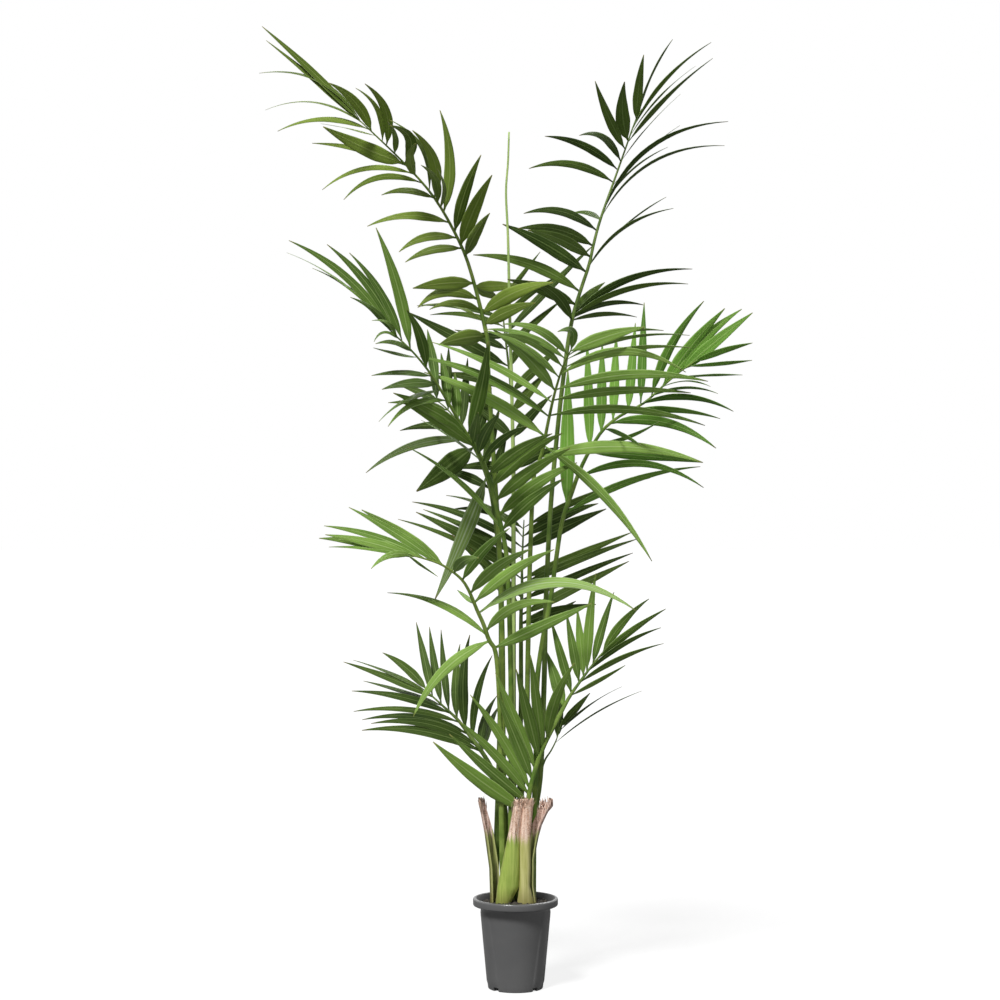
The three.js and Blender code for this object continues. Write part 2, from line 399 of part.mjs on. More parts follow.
// The soil's surface rises gently to the middle and ripples a little.
function soilSolid(openings) {
  const gap = 2 * CLEARANCE;
  const floor = POT.floor + gap;
  const edge = POT.rimInner - POT.lip - gap - (POT.height - POT.lipDrop - SOIL.top) * SOIL.taper;
  const points = [new THREE.Vector3(0, 0, SOIL.top + SOIL.dome)];
  const faces = [];
  const loops = [];
  for (let ring = 1; ring <= SOIL.rings; ring++) {
    const out = ring / SOIL.rings;
    const rippled = out < 1 ? SOIL.ripple : 0;
    const level = SOIL.top + SOIL.dome * (1 - out ** 2);
    const heightAt = (angle) => level + rippled * Math.sin(angle * 3 + ring) * Math.cos(angle * 5 - ring);
    loops.push(circle(edge * out, heightAt));
  }
  loops.push(circle(POT.shoulderRadius - POT.wall - gap, () => POT.shoulderHeight));
  loops.push(circle(POT.baseRadius - POT.wall - gap, () => floor));
  const starts = loops.map((loop) => points.push(...loop) - loop.length);
  const bottom = points.push(new THREE.Vector3(0, 0, floor)) - 1;
  for (let i = 0; i < SOIL.sides; i++) {
    const next = (i + 1) % SOIL.sides;
    faces.push([0, starts[0] + i, starts[0] + next], [bottom, starts.at(-1) + next, starts.at(-1) + i]);
    for (let r = 0; r + 1 < starts.length; r++) {
      const [a, b, c, d] = [starts[r] + i, starts[r] + next, starts[r + 1] + next, starts[r + 1] + i];
      faces.push([a, d, b], [b, d, c]);
    }
  }
  return openings.reduce((soil, opening) => soil.subtract(opening), solidOf(points, faces));
}

function circle(radius, heightAt) {
  return Array.from({ length: SOIL.sides }, (_, i) => {
    const angle = (2 * Math.PI * i) / SOIL.sides;
    return new THREE.Vector3(radius * Math.cos(angle), radius * Math.sin(angle), heightAt(angle));
  });
}

// ---------------------------------------------------------------- cut leaf bases
function stubSolid(stub) {
  const turn = THREE.MathUtils.degToRad(stub.facing);
  const rings = stub.rows.map(([height, x, y, width, bulge, thickness], level) => {
    const ragged = level === stub.rows.length - 1 ? stub.ragged : 0;
    const outer = [];
    const inner = [];
    for (let i = 0; i <= STUB_STEPS; i++) {
      const angle = Math.PI * (i / STUB_STEPS - 0.5);
      const fullness = STUB_WALL.edge + (1 - STUB_WALL.edge) * Math.cos(angle);
      const edge = Math.max(thickness * fullness, STUB_WALL.least);
      const z = height + ragged * Math.sin(i * RAGGED_STEP + stub.facing);
      const pointAt = (depth, halfWidth) => {
        const across = Math.sin(angle) * halfWidth;
        const out = Math.cos(angle) * depth - bulge / 2;
        return new THREE.Vector3(
          x + across * Math.cos(turn) + out * Math.sin(turn),
          y + across * Math.sin(turn) - out * Math.cos(turn),
          z,
        );
      };
      outer.push(pointAt(bulge, width));
      inner.unshift(pointAt(bulge - edge, width - edge * STUB_WALL.side));
    }
    return [...outer, ...inner];
  });
  return loft(rings);
}

// The plain hole that a cut base stands in: its buried end filled out, and a little wider.
function stubHole(solid) {
  const block = solid.trimByPlane([0, 0, -1], -STUB_HOLE_TOP).hull();
  const { min, max } = block.boundingBox();
  const centre = [0, 1, 2].map((i) => (min[i] + max[i]) / 2);
  const wider = [0, 1, 2].map((i) => 1 + STUB_HOLE_GAP / (max[i] - min[i]));
  return block.translate(centre.map((c) => -c)).scale(wider).translate(centre);
}

// ---------------------------------------------------------------- stalks
function place(x, z, depth) {
  const scale = (VIEW.distance + depth) / VIEW.distance;
  const across = VIEW.across + (x - VIEW.across) * scale;
  return new THREE.Vector3(across, depth, VIEW.height + (z - VIEW.height) * scale);
}

function stalkSizes(girth) {
  return { base: STALK.base * girth, neck: STALK.neck * girth, end: STALK.end * girth };
}

function stalkLine(foot, points) {
  const buried = [STEM_BOTTOM, STEM_COLLAR, STEM_STRAIGHT].map((z) => new THREE.Vector3(foot[0], foot[1], z));
  return new THREE.CatmullRomCurve3([...buried, ...points.map((p) => place(...p))], false, "catmullrom", 0.5);
}

function stalkRadius(share, sizes) {
  if (share < NECK_AT) return sizes.base + ((sizes.neck - sizes.base) * share) / NECK_AT;
  return sizes.neck + ((sizes.end - sizes.neck) * (share - NECK_AT)) / (1 - NECK_AT);
}

// Where the stalk's rings stand, as shares of its length: few on the bare stretch, more among the leaflets.
function ringShares(line, leafyFrom) {
  const straight = (STEM_COLLAR - STEM_BOTTOM) / line.getLength();
  const shares = [0];
  for (let i = 0; i < STALK.bareRings; i++) {
    shares.push(straight + ((leafyFrom - straight) * i) / STALK.bareRings);
  }
  for (let i = 0; i <= STALK.leafyRings; i++) {
    shares.push(leafyFrom + ((1 - leafyFrom) * i) / STALK.leafyRings);
  }
  return shares;
}

function stalkSolid(line, shares, sizes) {
  const rings = shares.map((share) => {
    const centre = line.getPointAt(share);
    const along = line.getTangentAt(share);
    const side = new THREE.Vector3().crossVectors(along, new THREE.Vector3(0, 1, 0)).normalize();
    const front = new THREE.Vector3().crossVectors(side, along);
    const radius = stalkRadius(share, sizes);
    return Array.from({ length: STALK.sides }, (_, i) => {
      const angle = (2 * Math.PI * i) / STALK.sides;
      return centre.clone()
        .addScaledVector(side, radius * Math.cos(angle))
        .addScaledVector(front, radius * Math.sin(angle));
    });
  });
  return loft(rings);
}

// The point on the straight stretch between the two rings around this share.
function onStalk(stem, share) {
  const after = Math.max(stem.shares.findIndex((ring) => ring >= share), 1);
  const [a, b] = [stem.shares[after - 1], stem.shares[after]];
  return stem.line.getPointAt(a).lerp(stem.line.getPointAt(b), (share - a) / (b - a));
}

function leafyShare(frond, line) {
  const lengths = line.getLengths();
  const buried = line.points.length - frond.stalk.length;
  const stretches = line.points.length - 1;
  return lengths[Math.round(((frond.leafy + buried) / stretches) * LINE_STEPS)] / lengths.at(-1);
}

function stemHole(foot, radius) {
  const depth = STEM_HOLE_TOP - STEM_BOTTOM;
  const hole = kit.Manifold.cylinder(depth, radius + HOLE_GAP, radius + HOLE_GAP, STALK.holeSides);
  return hole.translate([foot[0], foot[1], STEM_BOTTOM - CLEARANCE]);
}

// ---------------------------------------------------------------- leaflets
// The same small random draw every run, for leaflets that don't all grow alike.
function draws(seed) {
  let state = seed;
  return () => {
    state = (state + 0x6d2b79f5) >>> 0;
    let t = state;
    t = Math.imul(t ^ (t >>> 15), t | 1);
    t ^= t + Math.imul(t ^ (t >>> 7), t | 61);
    return ((t ^ (t >>> 14)) >>> 0) / 4294967296;
  };
}

function leafletsOf(frond, stem, seed) {
  const draw = draws(seed);
  const leaflets = [];
  for (const [share, across, up, back, arch, turned, width] of [...frond.left, ...frond.right]) {
    const at = stem.leafyFrom + (1 - stem.leafyFrom) * share * LEAFY_END;
    const root = onStalk(stem, at);
    const scale = VIEW.distance / (VIEW.distance + root.y);
    const seen = { across: VIEW.across + (root.x - VIEW.across) * scale,
      height: VIEW.height + (root.z - VIEW.height) * scale };
    const tip = place(seen.across + across, seen.height + up, root.y + back);
    const along = stem.line.getTangentAt(at);
    const twist = turned + (draw() - 0.5) * UNEVEN_TWIST;
    const neck = NECK * stalkRadius(at, stem.sizes);
    leaflets.push({ root, tip, along, width, neck, arch, twist });
  }
  return leaflets;
}

function profileWidth(share) {
  const after = BLADE_PROFILE.findIndex((row) => row[0] >= share);
  if (after <= 0) return BLADE_PROFILE[0][1];
  const [a, b] = [BLADE_PROFILE[after - 1], BLADE_PROFILE[after]];
  return a[1] + ((b[1] - a[1]) * (share - a[0])) / (b[0] - a[0]);
}

function bladeSolid(leaflet, [out, along, kept]) {
  const { root } = leaflet;
  const reach = leaflet.tip.clone().sub(root).multiplyScalar(kept);
  const length = reach.length();
  const tip = root.clone().add(reach)
    .addScaledVector(TOWARDS_VIEWER, out * length).addScaledVector(leaflet.along, along * length);
  const sideways = new THREE.Vector3().crossVectors(TOWARDS_VIEWER, reach).normalize();
  const upper = sideways.z < 0 ? sideways.negate() : sideways;
  const middle = root.clone().lerp(tip, 0.5)
    .addScaledVector(upper, leaflet.arch * length).addScaledVector(TOWARDS_VIEWER, out * BEND_EARLY * length);
  const curve = new THREE.QuadraticBezierCurve3(root, middle, tip);
  const twist = THREE.MathUtils.degToRad(leaflet.twist);
  const rings = BLADE_STATIONS.map((share) => {
    const centre = curve.getPoint(share);
    const onward = curve.getTangent(share);
    const flat = new THREE.Vector3().crossVectors(TOWARDS_VIEWER, onward).normalize();
    const face = new THREE.Vector3().crossVectors(onward, flat);
    const side = flat.clone().multiplyScalar(Math.cos(twist)).addScaledVector(face, Math.sin(twist));
    const up = new THREE.Vector3().crossVectors(onward, side);
    const half = share === 0 ? leaflet.neck : Math.max((leaflet.width * profileWidth(share)) / 2, BLADE_LEAST);
    const thin = BLADE_THICKNESS / 2;
    return [[-1, 1], [1, 1], [1, -1], [-1, -1]].map(([s, t]) =>
      centre.clone().addScaledVector(side, s * half).addScaledVector(up, t * thin));
  });
  return loft(rings);
}

function boxesApart(a, b) {
  return [0, 1, 2].some((i) => a.min[i] - CLEARANCE > b.max[i] || b.min[i] - CLEARANCE > a.max[i]);
}

function clearOf(solid, others) {
  const bounds = solid.boundingBox();
  return others.every((other) =>
    boxesApart(bounds, other.bounds) || solid.minGap(other.solid, CLEARANCE * 2) >= CLEARANCE);
}

const boxed = (solid) => ({ solid, bounds: solid.boundingBox() });

// ---------------------------------------------------------------- assembly
const plant = new THREE.Group();
const pot = potSolid();
plant.add(meshOf("pot", pot, 0x5a5a5a, 0.45));

const holes = [];
const fixed = [boxed(pot)];
for (const [name, stub] of Object.entries(STUBS)) {
  const solid = stubSolid(stub);
  holes.push(stubHole(solid));
  fixed.push(boxed(solid));
  plant.add(meshOf(name, solid, stub.color, 0.6));
}

const spearLine = stalkLine(SPEAR.foot, SPEAR.line);
const spear = stalkSolid(spearLine, ringShares(spearLine, SPEAR.slenderFrom), SPEAR);
holes.push(stemHole(SPEAR.foot, SPEAR.base));
fixed.push(boxed(spear));
plant.add(meshOf("spear_leaf", spear, SPEAR.color, 0.5));

const stems = {};
for (const [name, frond] of Object.entries(FRONDS)) {
  const line = stalkLine(frond.foot, frond.stalk);
  const leafyFrom = leafyShare(frond, line);
  const shares = ringShares(line, leafyFrom);
  const sizes = stalkSizes(frond.girth);
  stems[name] = { line, leafyFrom, shares, sizes, ...boxed(stalkSolid(line, shares, sizes)) };
  holes.push(stemHole(frond.foot, sizes.base));
}
const soil = soilSolid(holes);
fixed.push(boxed(soil));
plant.add(meshOf("soil", soil, 0x2b241d, 0.95));

const crown = new THREE.Group();
const standing = {};
Object.entries(FRONDS).forEach(([name, frond], index) => {
  const others = [...fixed];
  for (const [other, stem] of Object.entries(stems)) if (other !== name) others.push(stem);
  for (const blades of Object.values(standing)) others.push(...blades);
  const blades = [];
  for (const leaflet of leafletsOf(frond, stems[name], FIRST_SEED + index)) {
    for (const bend of BENDS) {
      const blade = bladeSolid(leaflet, bend);
      if (clearOf(blade, others)) {
        blades.push(boxed(blade));
        break;
      }
    }
  }
  standing[name] = blades;
  const joined = kit.Manifold.union([stems[name].solid, ...blades.map((blade) => blade.solid)]);
  const whole = joined.asOriginal().simplify(JOIN_SLACK);
  const foot = new THREE.Vector3(frond.foot[0], frond.foot[1], SOIL.top);
  crown.add(meshOf(name, whole, SHADES[frond.shade], 0.5, foot));
});
plant.add(crown);

export default plant;
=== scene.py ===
import math

import bmesh
import bpy
from mathutils import Matrix, Vector, kdtree, noise


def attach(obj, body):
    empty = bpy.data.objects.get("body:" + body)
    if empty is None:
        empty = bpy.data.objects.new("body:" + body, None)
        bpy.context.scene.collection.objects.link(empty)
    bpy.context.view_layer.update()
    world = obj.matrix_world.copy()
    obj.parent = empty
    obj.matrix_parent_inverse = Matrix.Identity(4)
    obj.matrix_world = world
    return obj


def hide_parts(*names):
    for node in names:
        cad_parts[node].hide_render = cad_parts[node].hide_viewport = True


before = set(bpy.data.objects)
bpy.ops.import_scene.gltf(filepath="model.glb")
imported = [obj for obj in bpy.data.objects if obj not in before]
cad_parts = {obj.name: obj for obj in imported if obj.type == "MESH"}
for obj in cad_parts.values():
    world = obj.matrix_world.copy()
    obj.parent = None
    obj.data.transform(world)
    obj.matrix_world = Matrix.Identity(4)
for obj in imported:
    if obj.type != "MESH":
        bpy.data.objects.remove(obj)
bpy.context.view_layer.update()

MM = 0.001

# ---------------------------------------------------------------- sizes
# The tables below are in millimetres and are turned to metres where they are used.
POT = {
    "height": 180, "base_radius": 55, "shoulder_radius": 70, "shoulder_height": 162,
    "rim_radius": 85, "rim_bottom": 165, "rim_edge": 3, "rim_inner": 78, "wall": 2.5, "floor": 4,
    "sides": 180,
}
POT_SOFT_EDGE = 2  # radius of the moulded edge round the underside
POT_SOLE = 12  # the underside's outer ring of faces is this broad
POT_LEVELS = 24  # rings up the pot's side
RIM_STEP = 6  # how far below the rim's top the wall steps in
RIM_LEDGE = 3  # and how far it steps in
# raised panels on both sides of the pot: their edges are in degrees from the front
PANEL = {"proud": 1.4, "top_edge": 50, "bottom_edge": 37, "low": 8, "high": 156, "ramp": 2.5, "end_ramp": 6}
NOTCH = {"count": 4, "first": 45, "width": 13, "height": 7, "depth": 9}
SOIL = {"top": 168, "dome": 5, "gap": 1, "taper": 0.8, "rings": 26, "sides": 110, "rough": 2.2}
CRUMB = {"count": 620, "seed": 5, "least": 0.8, "more": 2.6, "rise": 0.6, "turn": 6.3, "uneven": 0.4}
STEM = {"bottom": 128, "collar": 176, "straight": 200}  # heights of the points of a stalk's upright end

# a cut base's grid, and how it is ribbed, torn and frayed
STUB_COLUMNS = 44
STUB_ROWS = 60
STUB_SEED = 41
EDGE_WALL = 0.45  # thickness at a plate's edges, as a share of its middle's
RIB_HEIGHT = 0.7  # between the lowest rib and the highest
TORN_FROM = 0.9  # share of a plate's height where its top starts to be uneven
TORN_LEVEL = 0.55  # share of the top that is torn off short
RIB_TONES = 7  # shades that a plate's ribs take in turn
FIBRES = {"count": 34, "below_top": 4, "spread": 20, "length": 5, "more_length": 12, "width": 0.5,
          "more_width": 1.1, "taper": 0.9, "outwards": 0.45, "lean": 0.5, "proud": 0.8, "thickness": 0.4}

# Cut leaf bases, each a gutter-shaped plate. The hollow side is turned `facing` degrees from straight back.
# Each row: height, centre across, centre in depth, half width, bulge, thickness.
STUBS = {
    "cut_base_front_left": {
        "facing": 0, "ragged": 4, "bark": "green", "slot": "cut_base_green",
        "rows": [[142, -25, -24, 14.5, 12, 6], [172, -25, -24, 14.5, 12, 6], [205, -15, -25, 21, 13, 6],
                 [240, -10.5, -26, 18, 13, 6], [310, -3.5, -27, 11, 10, 5], [378, 7.5, -27, 9, 8, 4]],
    },
    "cut_base_front_right": {
        "facing": 0, "ragged": 5, "bark": "tan", "slot": "cut_base_green",
        "rows": [[142, 20, -23, 16.5, 11, 6], [172, 20, -23, 16.5, 11, 6], [205, 18, -25, 10.5, 10, 5],
                 [240, 19, -26, 10.5, 10, 5], [310, 19, -27, 10.5, 9, 5], [380, 26.5, -28, 9, 8, 4]],
    },
    "cut_base_left": {
        "facing": -125, "ragged": 6, "bark": "brown", "slot": "cut_base_brown",
        "rows": [[142, -43, 1, 12, 13, 4], [172, -43, 1, 12, 13, 4], [240, -45, -1, 12, 13, 4],
                 [310, -55, -4, 11, 12, 3.5], [376, -70, -6, 7, 7, 3]],
    },
    "cut_base_right": {
        "facing": 127, "ragged": 7, "bark": "brown", "slot": "cut_base_brown",
        "rows": [[142, 37, -8, 8, 9, 4], [172, 37, -8, 8, 9, 4], [205, 32.5, -9, 7, 8, 4],
                 [259, 33, -10, 7, 8, 4], [303, 40, -11, 9, 10, 4], [327, 45, -11, 12, 12, 3.5],
                 [351, 56, -11, 12, 12, 3], [374, 67, -11, 13, 13, 3]],
    },
}

# Stalk points and leaflet reaches are sizes seen from the front at the pot's axis: across, height, depth.
VIEW = {"distance": 4600, "height": 975, "across": -31}
TOWARDS_VIEWER = Vector((0, -1, 0))  # where a leaflet's face looks before it's twisted
UNEVEN_TWIST = 24  # degrees between the least and the most turned of like leaflets
FIRST_SEED = 101
LEAFY_END = 0.995  # the last leaflet stands just short of the stalk's tip
NECK = 0.45  # half width of a blade's root, as a share of the stalk's radius
BLADE_PROFILE = [[0, 0.28], [0.15, 0.7], [0.34, 1], [0.6, 0.8], [0.8, 0.46], [1, 0.06]]
# how a leaflet may be bent clear of its neighbours: towards the viewer, along the stalk, length kept
BENDS = [
    (out, along, kept)
    for kept in (1, 0.8, 0.6)
    for out in (0, 0.07, -0.07, 0.14, -0.14, 0.22, -0.22, 0.32, -0.32, 0.44, -0.44)
    for along in (0, 0.08, -0.08, 0.16, -0.16)
]
BEND_EARLY = 0.35  # share of a bend that the blade's middle has too
STALK = {"base": 6.2, "neck": 4.4, "end": 1.2, "bare_rings": 5, "leafy_rings": 8}
NECK_AT = 0.7  # share of a stalk's length where it has thinned to its neck
STALK_SIDES = 14
STALK_STATIONS = 70
SPEAR_STATIONS = 90
GROOVE = 0.2  # depth of the channel along a stalk's front, as a share of its radius
SPEAR_GROOVE = 0.35
GROOVE_WIDTH = 0.45  # radians
FLARE = 0.15  # how much broader than deep a stalk is at its foot
FLARE_ENDS = (200, 430)  # heights between which the flare dies away

# a fine blade's grid, and how unlike its neighbours it may grow
BLADE_THICKNESS = 0.5
BLADE_LEAST = 0.5  # half width that a tip never goes under
TIP_REACH = 1.6  # the corners of a solid blade's tip lie nearer than this to the end of its curve
LEAF_ALONG = 16
LEAF_ACROSS = 8
# lift of the blade across its half width, as shares of the half width: rib, first pleat, second pleat, edge
PLEATS = [[0, 0.1], [0.25, -0.01], [0.5, 0.045], [0.75, -0.045], [1, -0.08]]
ROOT_TAPER = 0.16  # share of the blade that widens from its neck
CURL = 0.5  # radians between the blades that turn most towards either side
DROOP = 0.015  # most that a tip sags, as a share of its length
CUP = {"centre": 0.35, "range": 0.3}  # bow across a blade, as a share of its half width
# waves along a blade's edges: their count and start in radians, and their height
RIPPLE = {"waves": 5, "more_waves": 4, "shift": 6, "height": 0.05, "more_height": 0.07}
BLADE_SEED = 701
# fronds that stand in shadow get painted shade: how far every one of their blades is on the way to the old
# blade's colour
PAINTED_SHADE_FRONDS = {
    "frond_base_left": 0.55, "frond_back_left": 0.4, "frond_base_back": 0.4, "frond_mid_left": 0.15,
}

